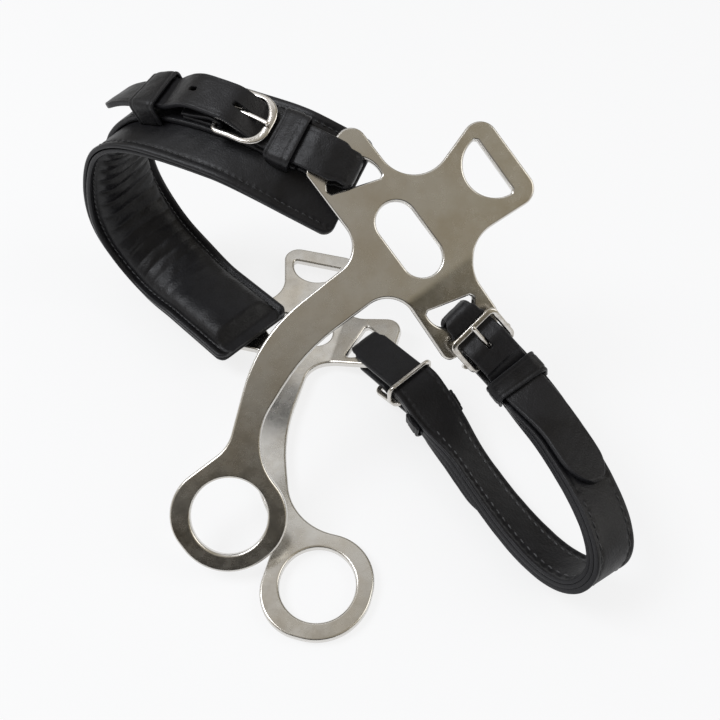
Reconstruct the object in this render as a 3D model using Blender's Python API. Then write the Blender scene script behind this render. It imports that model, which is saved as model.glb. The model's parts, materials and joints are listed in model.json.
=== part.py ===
"""English hackamore: two steel cheeks joined by a padded noseband and a curb strap.

The object lies on its far cheek. Lengths are metres, +Z is up, and the origin is
under the middle of the whole object, on the surface that it lies on.
"""
import math

import bmesh
import bpy
from mathutils import Euler, Matrix, Vector

MM = 0.001
TOUCH_GAP = 0.3 * MM          # gap between pieces that touch
LOOP_CLEARANCE = 1.0 * MM     # free room between a strap loop and the bar in it

# Cheek plates
PLATE_THICKNESS = 4.0 * MM
PLATE_EDGE = 0.8 * MM         # rounding of the plate's rim
RING_OUTER_RADIUS = 24.0 * MM
RING_HOLE_RADIUS = 16.5 * MM
RING_RIGHT = 48.8 * MM        # ring centre, from the middle of the oval slot
RING_DROP = 133.2 * MM
HEAD_ARM_HEIGHT = 58.5 * MM
HEAD_ARM_WIDTH = 45.5 * MM
HEAD_ARM_SHIFT = -4.2 * MM    # middle of the head arm's top edge
ARM_TOP = 12.2 * MM           # upper edge of the side arms
ARM_BOTTOM = 17.8 * MM        # lower edge of the side arms
NOSE_ARM_REACH = 56.0 * MM
NOSE_ARM_SLANT = 6.0 * MM     # how much shorter its lower corner is
CURB_ARM_REACH = 55.5 * MM
CURB_ARM_BEND = math.radians(14.0)
CURB_BEND_START = 20.0 * MM
SHANK_RIGHT_EDGE = 12.1 * MM
SHANK_LEFT_EDGE = -6.6 * MM
SHANK_TURN_DROP = 65.3 * MM   # where the shank's right edge turns to the ring
SHANK_LEFT_TURN_DROP = 77.3 * MM
OVAL_LENGTH = 36.3 * MM
OVAL_WIDTH = 17.6 * MM
HEAD_SLOT_RADIUS = 14.0 * MM
HEAD_SLOT_RIM = 9.4 * MM      # plate left outside the straight edge of the slot
NOSE_SLOT_RADIUS = 12.2 * MM
NOSE_SLOT_RIGHT = -31.9 * MM  # middle of the slot's straight inner edge
NOSE_SLOT_UP = -4.9 * MM
CURB_SLOT_RADIUS = 11.0 * MM
CURB_SLOT_RIGHT = 32.4 * MM
CURB_SLOT_UP = -2.2 * MM
NOSE_SLOT_TILT = math.radians(161.6)   # outward direction of each side slot
CURB_SLOT_TILT = math.radians(-16.1)

# Where each cheek lies: centre of the oval slot and turn about X, Y and Z
NEAR_CHEEK_AT = Vector((19.05, 254.41, 97.10)) * MM
NEAR_CHEEK_TURN = (26.87, 31.84, -42.15)
FAR_CHEEK_AT = Vector((-33.22, 278.41, 8.15)) * MM
FAR_CHEEK_TURN = (2.82, -0.46, -12.52)
SEAT_NORMAL = Vector((0.0342, 0.0320, -0.9989))  # downward normal of the plane that it lies on

# Noseband
PAD_WIDTH = 46.5 * MM
PAD_BACKING = 2.0 * MM
PAD_LINING = 1.2 * MM
PAD_DOME = 6.0 * MM           # how far the filled lining stands in
PAD_BORDER = 4.6 * MM         # flat stitched border round the filling
PAD_STITCH_INSET = 3.9 * MM
PAD_DIVISIONS = (-10.0 * MM, 0.0, 10.0 * MM)
NOSE_STRAP_WIDTH = 20.0 * MM
NOSE_STRAP_THICKNESS = 2.8 * MM
NOSE_BILLET_WIDTH = 18.0 * MM
NOSE_FOLD_WIDTH = 10.5 * MM   # the billet gathers where it passes through the slot
NOSE_APEX = Vector((-122.8, 326.6, 91.0)) * MM
NOSE_APEX_TANGENT = Vector((-0.44, 0.18, -0.88))
NOSE_APEX_WIDTH = Vector((0.50, 0.87, 0.02))
# A strap lies flat to its cheek up to "flat", and a billet reaches to "reach"
NOSE_ARMS = {
    "near": {"angle": math.radians(206.1), "depth": 5.4 * MM, "lateral": -1.4 * MM, "over": 2.2 * MM,
             "run": 27.0 * MM, "roll": 0.242, "handle": 10.0 * MM, "apex_handle": 39.8 * MM,
             "flat": 19.0 * MM, "strap_shift": 5.4 * MM, "reach": 130.0 * MM, "tip_lift": 3.5 * MM},
    "far": {"angle": math.radians(150.1), "depth": 6.4 * MM, "lateral": 0.0, "over": 22.9 * MM,
            "run": 15.7 * MM, "roll": 0.415, "handle": 53.7 * MM, "apex_handle": 39.8 * MM,
            "flat": 19.0 * MM, "strap_shift": 1.2 * MM, "reach": 116.0 * MM, "tip_lift": 0.0},
}

# Curb strap
CURB_WIDTH = 22.5 * MM
CURB_LINING = 1.7 * MM
CURB_FILLER = 1.3 * MM
CURB_FILLER_WIDTH = CURB_WIDTH - 5.0 * MM
CURB_LEATHER = 2.2 * MM
CURB_BILLET_WIDTH = 19.5 * MM
CURB_BILLET_THICKNESS = 2.6 * MM
CURB_FOLD_WIDTH = 12.0 * MM
CURB_TIP_ROOM = {"near": 4.5 * MM, "far": 19.9 * MM}   # from the arm's end to the strap's body
CURB_SLOT_DEPTH = 5.0 * MM    # how far past the slot's straight edge the strap passes
CURB_HEEL_PAST = 2.4 * MM     # the buckle's heel bar, past the start of the body
CURB_BUCKLE_LENGTH = 16.8 * MM
CURB_KEEPER_LAP = 26.0 * MM   # the keeper's end, past the start of the body
CURB_BILLET_LAP = 77.4 * MM   # and the billet's tip
CURB_LIFT_RUN = 20.0 * MM


def curb_spots(side):
    """Return the stations of the curb strap's pieces, from the middle of one cheek's slot."""
    start = CURB_ARM_REACH - CURB_SLOT_RIGHT - CURB_SLOT_DEPTH + CURB_TIP_ROOM[side]
    heel = start + CURB_HEEL_PAST
    front = heel - CURB_BUCKLE_LENGTH
    return {
        "start": start, "heel": heel, "front": front, "bar_end": front + 3.0 * MM,
        "ramp": [start + CURB_LIFT_RUN * k / 4 for k in range(5)],
        "keeper_end": start + CURB_KEEPER_LAP,
        "seam_start": start + CURB_KEEPER_LAP + 4.4 * MM,
        "reach": start + CURB_BILLET_LAP,
    }


CURB_SPOTS = {"near": curb_spots("near"), "far": curb_spots("far")}
CURB_APEX = Vector((100.6, 137.6, 28.1)) * MM
CURB_APEX_TANGENT = Vector((-0.42, -0.12, -0.90))
CURB_APEX_WIDTH = Vector((0.79, 0.57, -0.21))
CURB_ARMS = {
    "near": {"angle": math.radians(8.1), "depth": CURB_SLOT_DEPTH, "lateral": 1.6 * MM,
             "run": CURB_SPOTS["near"]["heel"] + 3.0 * MM, "roll": 0.703, "handle": 22.0 * MM,
             "apex_handle": 28.0 * MM, "flat": CURB_SPOTS["near"]["heel"] + 12.0 * MM},
    "far": {"angle": math.radians(-37.2), "depth": CURB_SLOT_DEPTH, "lateral": 0.0,
            "run": CURB_SPOTS["far"]["heel"] + 3.0 * MM, "roll": -0.644, "handle": 13.0 * MM,
            "apex_handle": 35.9 * MM, "flat": CURB_SPOTS["far"]["heel"] + 9.6 * MM},
}

# Buckles, loops and keepers
WIRE_RADIUS = 1.35 * MM
TONGUE_RADIUS = 1.0 * MM
LOOP_WIRE_RADIUS = 1.1 * MM
CHAPE_THICKNESS = 1.8 * MM
KEEPER_THICKNESS = 1.5 * MM
SIDE_ROOM = 0.8 * MM          # between a strap and the sides of its keeper or buckle
STITCH_SIZE = 0.7 * MM
STITCH_INSET = 2.6 * MM

# Stations along the straps, measured from the middle of each cheek slot
ROLL_RUN = 40.0 * MM          # a strap takes its own tilt over this run
MARK_TURN = math.radians(9.5)  # the layers share stations, placed closer where they bend
MARK_STEP = 14.0 * MM
MARK_ROOM = 2.5 * MM
NOSE_BAR_END = 19.0 * MM      # the noseband's billet lies flat on the cheek up to here
NOSE_STRAP_START = 24.0 * MM
NOSE_SHIFT_FROM = 112.0 * MM
NOSE_SHIFT_TO = 190.0 * MM
NOSE_KEEPER_START = NOSE_STRAP_START + 2.6 * MM
NOSE_KEEPER_END = NOSE_KEEPER_START + 10.5 * MM
RUNNER_AT = 99.0 * MM
RUNNER_LENGTH = 13.5 * MM
RUNNER_START = RUNNER_AT - RUNNER_LENGTH / 2
RUNNER_END = RUNNER_AT + RUNNER_LENGTH / 2
NOSE_SHARED = dict.fromkeys(("near", "far"), (NOSE_STRAP_START, NOSE_KEEPER_START, NOSE_KEEPER_END,
                                              RUNNER_START, RUNNER_END))
CURB_SHARED = {side: (*spots["ramp"], spots["keeper_end"]) for side, spots in CURB_SPOTS.items()}
PAD_DOME_RAMP = 9.0 * MM
NOSE_BUCKLE_FRONT = NOSE_KEEPER_END + 3.0 * MM
NOSE_BUCKLE_HEEL = NOSE_BUCKLE_FRONT + 22.5 * MM
NOSE_FRAME_CORNER = 6.0 * MM
NOSE_CHAPE_LENGTH = 18.0 * MM
CURB_FRAME_CORNER = 2.5 * MM
CURB_CHAPE_LENGTH = 9.5 * MM
TONGUE_SLOT_HALF = 1.8 * MM
NOSE_BAR_MIDDLE = 9.0 * MM    # middle of the plate bar that a strap loops round
CURB_BAR_MIDDLE = 11.0 * MM

ARC_STEP = math.radians(20.0)


# Shapes in a plane

def rounded_outline(corners, closed=True):
    """Return the points of a polygon whose corners (x, y, radius) are rounded by arcs."""
    points = []
    count = len(corners)
    for i, (x, y, radius) in enumerate(corners):
        corner = Vector((x, y))
        if radius <= 0 or (not closed and i in (0, count - 1)):
            points.append(corner)
            continue
        before = Vector(corners[i - 1][:2]) - corner
        after = Vector(corners[(i + 1) % count][:2]) - corner
        to_before = before.normalized()
        to_after = after.normalized()
        half = to_before.angle(to_after) / 2
        tangent = min(radius / math.tan(half), 0.499 * before.length, 0.499 * after.length)
        real_radius = tangent * math.tan(half)
        centre = corner + (to_before + to_after).normalized() * (real_radius / math.sin(half))
        start = corner + to_before * tangent - centre
        sweep = math.pi - 2 * half
        side = 1.0 if to_before.x * to_after.y - to_before.y * to_after.x < 0 else -1.0
        steps = max(1, math.ceil(sweep / ARC_STEP))
        for k in range(steps + 1):
            turn = Matrix.Rotation(side * sweep * k / steps, 2)
            points.append(centre + turn @ start)
    return points


def circle(x, y, radius, count):
    """Return the points of a circle."""
    return [Vector((x + radius * math.cos(2 * math.pi * k / count),
                    y + radius * math.sin(2 * math.pi * k / count))) for k in range(count)]


def half_disc(middle, outward, radius, corner):
    """Return a D-shaped slot: its straight edge is centred at middle and it bulges outward."""
    axis = Vector((math.cos(outward), math.sin(outward)))
    along = Vector((-axis.y, axis.x))
    centre = Vector(middle)
    points = []
    steps = 12
    lift = corner / radius
    for k in range(steps + 1):
        turn = -math.pi / 2 + lift + (math.pi - 2 * lift) * k / steps
        points.append(centre + axis * radius * math.cos(turn) + along * radius * math.sin(turn))
    points.append(centre + along * (radius - corner))
    points.append(centre - along * (radius - corner))
    return points


def cheek_outline():
    """Return the outer outline of a cheek plate."""
    ring_right = RING_RIGHT + RING_OUTER_RADIUS
    ring_left = RING_RIGHT - RING_OUTER_RADIUS
    ring_top = RING_OUTER_RADIUS - RING_DROP
    ring_bottom = -RING_DROP - RING_OUTER_RADIUS
    head_left = HEAD_ARM_SHIFT - HEAD_ARM_WIDTH / 2
    head_right = HEAD_ARM_SHIFT + HEAD_ARM_WIDTH / 2
    corners = [
        (head_left, HEAD_ARM_HEIGHT, 8 * MM),
        (head_left + 14.6 * MM, ARM_TOP - 1 * MM, 13 * MM),
        (-NOSE_ARM_REACH, ARM_TOP - 1 * MM, 7 * MM),
        (NOSE_ARM_SLANT - NOSE_ARM_REACH, -ARM_BOTTOM - 1.5 * MM, 3.5 * MM),
        (SHANK_LEFT_EDGE - 0.8 * MM, -ARM_BOTTOM - 1.1 * MM, 13 * MM),
        (SHANK_LEFT_EDGE + 0.9 * MM, -SHANK_LEFT_TURN_DROP, 72 * MM),
        (ring_left, RING_OUTER_RADIUS * 0.72 - RING_DROP, 17 * MM),
        (ring_left, ring_bottom, RING_OUTER_RADIUS),
        (ring_right, ring_bottom, RING_OUTER_RADIUS),
        (ring_right, ring_top, RING_OUTER_RADIUS),
        (ring_left + 4.8 * MM, ring_top, 28 * MM),
        (SHANK_RIGHT_EDGE, -SHANK_TURN_DROP, 90 * MM),
        (SHANK_RIGHT_EDGE + 0.2 * MM, 0.6 * MM - ARM_BOTTOM, 13 * MM),
        (CURB_ARM_REACH - 1 * MM, -ARM_BOTTOM, 4.5 * MM),
        (CURB_ARM_REACH, ARM_TOP + 2.2 * MM, 9 * MM),
        (head_right - 3.7 * MM, ARM_TOP + 1.2 * MM, 14 * MM),
        (head_right, HEAD_ARM_HEIGHT, 8 * MM),
    ]
    return rounded_outline(corners)


def cheek_holes():
    """Return the outlines of the oval slot, the ring hole and the three strap slots."""
    half = OVAL_LENGTH / 2
    side = OVAL_WIDTH / 2
    ends = ((half, side), (-half, side), (-half, -side), (half, -side))
    oval = rounded_outline([(x, y, side) for x, y in ends])
    head_edge = HEAD_ARM_HEIGHT - HEAD_SLOT_RIM
    return [
        oval,
        circle(RING_RIGHT, -RING_DROP, RING_HOLE_RADIUS, 28),
        half_disc((HEAD_ARM_SHIFT + 0.6 * MM, head_edge), math.radians(-90.6), HEAD_SLOT_RADIUS, 1.2 * MM),
        half_disc((NOSE_SLOT_RIGHT, NOSE_SLOT_UP), NOSE_SLOT_TILT, NOSE_SLOT_RADIUS, 1.2 * MM),
        half_disc((CURB_SLOT_RIGHT, CURB_SLOT_UP), CURB_SLOT_TILT, CURB_SLOT_RADIUS, 1.2 * MM),
    ]


# Materials and objects

def material(name, colour, roughness, metallic):
    """Return a Principled material, made once."""
    found = bpy.data.materials.get(name)
    if found:
        return found
    made = bpy.data.materials.new(name)
    made.use_nodes = True
    shader = made.node_tree.nodes["Principled BSDF"]
    shader.inputs["Base Color"].default_value = (*colour, 1.0)
    shader.inputs["Roughness"].default_value = roughness
    shader.inputs["Metallic"].default_value = metallic
    return made


def steel(name):
    return material(name + "_steel", (0.46, 0.44, 0.40), 0.32, 1.0)


def nickel(name):
    return material(name + "_nickel", (0.62, 0.60, 0.56), 0.18, 1.0)


def leather(name):
    return material(name + "_leather", (0.016, 0.016, 0.018), 0.42, 0.0)


def foam(name):
    return material(name + "_foam", (0.30, 0.28, 0.24), 0.9, 0.0)


def thread(name):
    return material(name + "_thread", (0.03, 0.03, 0.035), 0.7, 0.0)


def add_object(name, bm, surface, smooth_angle=40.0):
    """Turn a bmesh into a named object with its own material, its faces pointing outward."""
    bmesh.ops.recalc_face_normals(bm, faces=bm.faces)
    mesh = bpy.data.meshes.new(name)
    bm.to_mesh(mesh)
    bm.free()
    mesh.materials.append(surface(name))
    mesh.shade_smooth()
    mesh.set_sharp_from_angle(angle=math.radians(smooth_angle))
    made = bpy.data.objects.new(name, mesh)
    bpy.context.scene.collection.objects.link(made)
    return made


def bridge(bm, first, second, split=None):
    """Join two rings of vertices with quads, or with triangles split along a given diagonal."""
    count = len(first)
    for k in range(count):
        n = (k + 1) % count
        if split is None:
            bm.faces.new((first[k], first[n], second[n], second[k]))
        elif split[k]:
            bm.faces.new((first[k], first[n], second[n]))
            bm.faces.new((first[k], second[n], second[k]))
        else:
            bm.faces.new((first[k], first[n], second[k]))
            bm.faces.new((first[n], second[n], second[k]))


def inset_loop(points, distance):
    """Return a closed outline moved by distance to the side where its material is."""
    moved = []
    count = len(points)
    area = sum(points[k - 1].x * points[k].y - points[k].x * points[k - 1].y for k in range(count))
    side = 1.0 if area > 0 else -1.0
    for k in range(count):
        before = (points[k] - points[k - 1]).normalized()
        after = (points[(k + 1) % count] - points[k]).normalized()
        normal = Vector((-before.y - after.y, before.x + after.x)) * side
        if normal.length < 1e-9:
            moved.append(points[k].copy())
            continue
        normal.normalize()
        cosine = max(0.5, normal.dot(Vector((-before.y, before.x)) * side))
        moved.append(points[k] + normal * (distance / cosine))
    return moved


# Poses of the two cheeks

def cheek_matrix(at, turn):
    angles = [math.radians(a) for a in turn]
    return Matrix.Translation(at) @ Euler(angles, "XYZ").to_matrix().to_4x4()


CHEEKS = {
    "near": {"pose": cheek_matrix(NEAR_CHEEK_AT, NEAR_CHEEK_TURN), "outward": 1.0},
    "far": {"pose": cheek_matrix(FAR_CHEEK_AT, FAR_CHEEK_TURN), "outward": -1.0},
}


def bend_point(point, outward):
    """Bend a plate point: beyond the bend line the curb arm leans to the inside."""
    over = point.x - CURB_BEND_START
    if over <= 0 or point.y < -ARM_BOTTOM - 2 * MM:
        return point.copy()
    radius = 12 * MM
    turned = min(over / radius, CURB_ARM_BEND)
    rest = over - turned * radius
    x = CURB_BEND_START + radius * math.sin(turned) + rest * math.cos(turned)
    drop = radius * (1 - math.cos(turned)) + rest * math.sin(turned)
    normal_x = math.sin(turned) * point.z * outward
    return Vector((x + normal_x, point.y, point.z * math.cos(turned) - outward * drop))


def build_cheek(side):
    """Build one cheek plate: outline, slots and rounded rim, with its curb arm bent in."""
    outward = CHEEKS[side]["outward"]
    half = PLATE_THICKNESS / 2
    loops = [(cheek_outline(), 1.0)] + [(hole, -1.0) for hole in cheek_holes()]
    bm = bmesh.new()
    rims = {}
    for level, (z, inset) in enumerate(((half, PLATE_EDGE), (half - PLATE_EDGE, 0.0),
                                        (PLATE_EDGE - half, 0.0), (-half, PLATE_EDGE))):
        rims[level] = []
        for points, kind in loops:
            shifted = inset_loop(points, inset * kind) if inset else points
            rims[level].append([bm.verts.new((p.x, p.y, z)) for p in shifted])
    for level in range(3):
        for upper, lower in zip(rims[level], rims[level + 1]):
            bridge(bm, upper, lower)
    for level in (0, 3):
        edges = []
        for rim in rims[level]:
            for k in range(len(rim)):
                edge = bm.edges.get((rim[k - 1], rim[k]))
                edges.append(edge or bm.edges.new((rim[k - 1], rim[k])))
        bmesh.ops.triangle_fill(bm, edges=edges, use_beauty=True)
    for line in (CURB_BEND_START, CURB_BEND_START + 12 * MM * CURB_ARM_BEND):
        faces = [f for f in bm.faces if f.calc_center_median().y > -ARM_BOTTOM - 2 * MM]
        cut = faces + list({e for f in faces for e in f.edges}) + list({v for f in faces for v in f.verts})
        bmesh.ops.bisect_plane(bm, geom=cut, plane_co=(line, 0, 0), plane_no=(1, 0, 0))
    for vertex in bm.verts:
        vertex.co = bend_point(vertex.co, outward)
    made = add_object(side + "_cheek", bm, steel)
    made.data.transform(CHEEKS[side]["pose"])
    return made


# Routes of the two leather bands

def bezier(a, b, c, d, t):
    return a * (1 - t) ** 3 + b * (3 * t * (1 - t) ** 2) + c * (3 * t * t * (1 - t)) + d * t ** 3


def smooth_step(t):
    return t * t * (3 - 2 * t)


class Route:
    """A leather band's middle line with its width direction.

    Stations are measured from the near slot along the middle line.
    Height is measured outward, away from the horse.
    """

    def __init__(self, near, far, apex, apex_tangent, apex_width, shared):
        self.points = []
        tangent = apex_tangent.normalized()
        near_bend = near["start"] + near["along"] * near["run"]
        far_bend = far["start"] + far["along"] * far["run"]
        first = near["start"] - near["along"] * near["over"]
        last = far["start"] - far["along"] * far["over"]
        steps = 40
        legs = (
            [first.lerp(near_bend, k / steps) for k in range(steps)],
            [bezier(near_bend, near_bend + near["along"] * near["handle"],
                    apex - tangent * near["apex_handle"], apex, k / steps) for k in range(steps)],
            [bezier(apex, apex + tangent * far["apex_handle"],
                    far_bend + far["along"] * far["handle"], far_bend, k / steps) for k in range(steps)],
            [far_bend.lerp(last, k / steps) for k in range(steps + 1)],
        )
        for leg in legs:
            self.points.extend(leg)
        self.stations = [-near["over"]]
        for k in range(1, len(self.points)):
            self.stations.append(self.stations[-1] + (self.points[k] - self.points[k - 1]).length)
        self.start = self.stations[0]
        self.end = self.stations[-1]
        self.length = self.end - far["over"]
        apex_mark = self.stations[2 * steps]
        self.width_keys = (
            (near["flat"], near["width"]),
            (near["flat"] + ROLL_RUN, near["rolled"]),
            (apex_mark, apex_width.normalized()),
            (self.length - far["flat"] - ROLL_RUN, far["rolled"]),
            (self.length - far["flat"], far["width"]),
        )
        _, tangent, width = self.line(0.0)
        self.sign = 1.0 if tangent.cross(width).dot(near["out"]) > 0 else -1.0
        self.marks = [self.start]
        turned = 0.0
        s = self.start
        while s < self.end:
            s += MM
            _, next_tangent, next_width = self.line(s)
            turned += tangent.angle(next_tangent) + 1.5 * width.angle(next_width)
            tangent, width = next_tangent, next_width
            if turned > MARK_TURN or s - self.marks[-1] > MARK_STEP:
                self.marks.append(s)
                turned = 0.0
        shared = [*shared["near"], *(self.length - spot for spot in shared["far"])]
        free = [m for m in self.marks if min(abs(m - spot) for spot in shared) > MARK_ROOM]
        self.marks = sorted(free + shared)

    def line(self, s):
        """Return the middle point, the direction and the width direction at station s."""
        k = 1
        while k < len(self.stations) - 1 and self.stations[k] < s:
            k += 1
        low = self.stations[k - 1]
        share = (s - low) / (self.stations[k] - low)
        point = self.points[k - 1].lerp(self.points[k], share)
        before = self.points[k] - self.points[k - 1]
        after = self.points[min(k + 1, len(self.points) - 1)] - self.points[min(k, len(self.points) - 2)]
        share = min(1.0, max(0.0, share))
        tangent = before.normalized().lerp(after.normalized(), share).normalized()
        width = self.width_keys[0][1]
        for (first, low), (last, high) in zip(self.width_keys, self.width_keys[1:]):
            if s >= first:
                width = low.lerp(high, smooth_step(min(1.0, (s - first) / (last - first))))
        width = (width - tangent * width.dot(tangent)).normalized()
        return point, tangent, width

    def grid(self, first, last):
        """Return the shared stations of all the layers between two stations."""
        low, high = min(first, last), max(first, last)
        return [low, *(m for m in self.marks if low + MM < m < high - MM), high]

    def place(self, s, across, height):
        """Return the world point at a station, across the band and above its middle."""
        point, tangent, width = self.line(s)
        out = tangent.cross(width) * self.sign
        return point + width * across + out * height

    def direction(self, s, local):
        """Return a world direction from one given along, across and out at station s."""
        _, tangent, width = self.line(s)
        out = tangent.cross(width) * self.sign
        return tangent * local[0] + width * local[1] + out * local[2]


class End:
    """One end of a route, with stations measured from that end's slot."""

    def __init__(self, route, far):
        self.route = route
        self.far = far

    def station(self, s):
        return self.route.length - s if self.far else s

    def place(self, s, across, height):
        return self.route.place(self.station(s), across, height)

    def grid(self, first, last):
        spots = self.route.grid(self.station(first), self.station(last))
        return sorted(self.station(s) for s in spots)

    def direction(self, s, local):
        along = -local[0] if self.far else local[0]
        return self.route.direction(self.station(s), (along, local[1], local[2]))


def arm_frame(side, arm, middle, tilt, bent, mid_height):
    """Return where a band leaves a cheek, from its slot and the strap's own angle."""
    cheek = CHEEKS[side]
    outward = cheek["outward"]
    axis = Vector((math.cos(tilt), math.sin(tilt)))
    along_edge = Vector((-axis.y, axis.x))
    slot = Vector(middle) + axis * arm["depth"] + along_edge * arm["lateral"]
    step = Vector((math.cos(arm["angle"]), math.sin(arm["angle"])))
    spots = [Vector((slot.x, slot.y, 0)), Vector((slot.x + step.x * MM, slot.y + step.y * MM, 0))]
    normal_spot = Vector((slot.x, slot.y, outward * MM))
    if bent:
        spots = [bend_point(p, outward) for p in spots]
        normal_spot = bend_point(normal_spot, outward)
    pose = cheek["pose"]
    start = pose @ spots[0]
    along = (pose @ spots[1] - start).normalized()
    out = (pose @ normal_spot - start).normalized()
    width = along.cross(out) * (1.0 if side == "near" else -1.0)
    if bent:
        width = -width
    rolled = width * math.cos(arm["roll"]) - out * math.sin(arm["roll"])
    return {"start": start + out * mid_height, "along": along, "out": out, "width": width,
            "rolled": rolled, "bar": start}


# The noseband's layers, as heights above the middle of the pad
BACKING_LOW = TOUCH_GAP
BACKING_TOP = BACKING_LOW + PAD_BACKING
STRAP_LOW = BACKING_TOP + TOUCH_GAP
STRAP_TOP = STRAP_LOW + NOSE_STRAP_THICKNESS
NOSE_PLATE_LOW = STRAP_TOP + LOOP_CLEARANCE
NOSE_PLATE_TOP = NOSE_PLATE_LOW + PLATE_THICKNESS
NOSE_OUTER_LOW = NOSE_PLATE_TOP + LOOP_CLEARANCE

# The curb strap's layers, as heights above the plate's middle
CURB_INNER_TOP = -PLATE_THICKNESS / 2 - LOOP_CLEARANCE
CURB_INNER_LOW = CURB_INNER_TOP - CURB_BILLET_THICKNESS
CURB_OUTER_LOW = PLATE_THICKNESS / 2 + LOOP_CLEARANCE
CURB_OUTER_TOP = CURB_OUTER_LOW + CURB_BILLET_THICKNESS
CURB_LINING_TOP = CURB_INNER_LOW + CURB_LINING
CURB_FILLER_LOW = CURB_LINING_TOP + TOUCH_GAP
CURB_FILLER_TOP = CURB_FILLER_LOW + CURB_FILLER
CURB_LEATHER_LOW = CURB_FILLER_TOP + TOUCH_GAP
CURB_LEATHER_TOP = CURB_LEATHER_LOW + CURB_LEATHER
CURB_FULL_LIFT = -(CURB_INNER_LOW + CURB_LEATHER_TOP) / 2   # away from the cheeks the body is centred


def nose_frames():
    """Return the noseband's frame at each cheek."""
    frames = {}
    for side, arm in NOSE_ARMS.items():
        middle = (NOSE_SLOT_RIGHT, NOSE_SLOT_UP)
        mid_height = -(NOSE_PLATE_LOW + PLATE_THICKNESS / 2)
        frame = arm_frame(side, arm, middle, NOSE_SLOT_TILT, False, mid_height)
        frame["start"] = frame["start"] - frame["width"] * arm["strap_shift"]
        frames[side] = {**frame, **{key: arm[key] for key in ("over", "run", "flat", "handle", "apex_handle")}}
    return frames


def curb_frames():
    """Return the curb strap's frame at each cheek."""
    frames = {}
    for side, arm in CURB_ARMS.items():
        middle = (CURB_SLOT_RIGHT, CURB_SLOT_UP)
        frame = arm_frame(side, arm, middle, CURB_SLOT_TILT, True, 0.0)
        frame["over"] = 2 * MM
        frames[side] = {**frame, **{key: arm[key] for key in ("run", "flat", "handle", "apex_handle")}}
    return frames


def profile_box(centre, width, low, high, corner, divisions=()):
    """Return a rectangle (across, height) with its corners eased and its faces divided."""
    half = width / 2
    c = min(corner, (high - low) * 0.45, half * 0.45)
    inner = sorted(divisions)
    points = [(x, low) for x in (c - half, *inner, half - c)]
    points += [(half, low + c), (half, high - c)]
    points += [(x, high) for x in (half - c, *reversed(inner), c - half)]
    points += [(-half, high - c), (-half, low + c)]
    return [(centre + x, h) for x, h in points]


def stations(first, last, step):
    """Return evenly spaced stations from first to last."""
    count = max(1, math.ceil(abs(last - first) / step))
    return [first + (last - first) * k / count for k in range(count + 1)]


def diagonals(profile, onward):
    """Return which way to split each side of a band, so that neighbouring layers split alike."""
    count = len(profile)
    return [(profile[(k + 1) % count][0] >= profile[k][0]) == onward for k in range(count)]


def sweep(name, rows, surface, closed=False, splits=None):
    """Skin rows of world points into one closed solid."""
    bm = bmesh.new()
    rings = [[bm.verts.new(p) for p in row] for row in rows]
    for k, (first, second) in enumerate(zip(rings, rings[1:])):
        bridge(bm, first, second, splits[k] if splits else None)
    if closed:
        bridge(bm, rings[-1], rings[0])
    else:
        bm.faces.new(rings[0])
        bm.faces.new(rings[-1])
    return add_object(name, bm, surface)


def band_piece(name, end, spots, profile, surface):
    """Sweep a cross-section profile(s) of (across, height) points along a band."""
    rows = [[end.place(s, across, height) for across, height in profile(s)] for s in spots]
    split = diagonals(profile(spots[0]), not end.far)
    return sweep(name, rows, surface, splits=[split] * len(rows))


def side_normals(path):
    """Return the left-hand normal of an open (station, height) path at each point."""
    normals = []
    for k in range(len(path)):
        before = (path[k] - path[max(k - 1, 0)])
        after = (path[min(k + 1, len(path) - 1)] - path[k])
        way = before.normalized() + after.normalized()
        normals.append(Vector((-way.y, way.x)).normalized())
    return normals


def split_path(path, marks):
    """Return the path with a point wherever it crosses one of the route's marks."""
    points = [path[0]]
    for before, after in zip(path, path[1:]):
        low, high = sorted((before.x, after.x))
        between = [m for m in marks if low + 0.6 * MM < m < high - 0.6 * MM]
        if after.x < before.x:
            between.reverse()
        points.extend(before.lerp(after, (m - before.x) / (after.x - before.x)) for m in between)
        points.append(after)
    return points


def ribbon(name, end, path, width, thickness, shift, surface):
    """Sweep a strap along a (station, height) path that may fold back over itself."""
    rows = []
    splits = []
    points = split_path(path, end.grid(min(p.x for p in path), max(p.x for p in path)))
    for spot, normal in zip(points, side_normals(points)):
        row = []
        for across, lift in profile_box(shift(spot.x), width(spot), -thickness / 2, thickness / 2, 0.7 * MM):
            at = spot + normal * lift
            row.append(end.place(at.x, across, at.y))
        rows.append(row)
    box = profile_box(0.0, NOSE_BILLET_WIDTH, 0.0, thickness, 0.7 * MM)
    for before, after in zip(points, points[1:]):
        splits.append(diagonals(box, (after.x > before.x) != end.far))
    return sweep(name, rows, surface, splits=splits)


def tube(name, points, radius, surface, closed=False, sides=8, reference=None):
    """Sweep a round wire through world points, kept level with the reference direction."""
    rows = []
    count = len(points)
    for k, point in enumerate(points):
        before = points[k - 1] if closed or k else point
        after = points[(k + 1) % count] if closed or k < count - 1 else point
        way = (after - before).normalized()
        side = way.cross(reference).normalized()
        up = side.cross(way)
        turns = [2 * math.pi * j / sides for j in range(sides)]
        rows.append([point + (side * math.cos(turn) + up * math.sin(turn)) * radius for turn in turns])
    return sweep(name, rows, surface, closed)


def height_at(path, s):
    """Return the height of the last crossing of a (station, height) path at s."""
    found = path[-1].y
    for before, after in zip(path, path[1:]):
        if min(before.x, after.x) <= s <= max(before.x, after.x) and before.x != after.x:
            found = before.lerp(after, (s - before.x) / (after.x - before.x)).y
    return found


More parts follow.
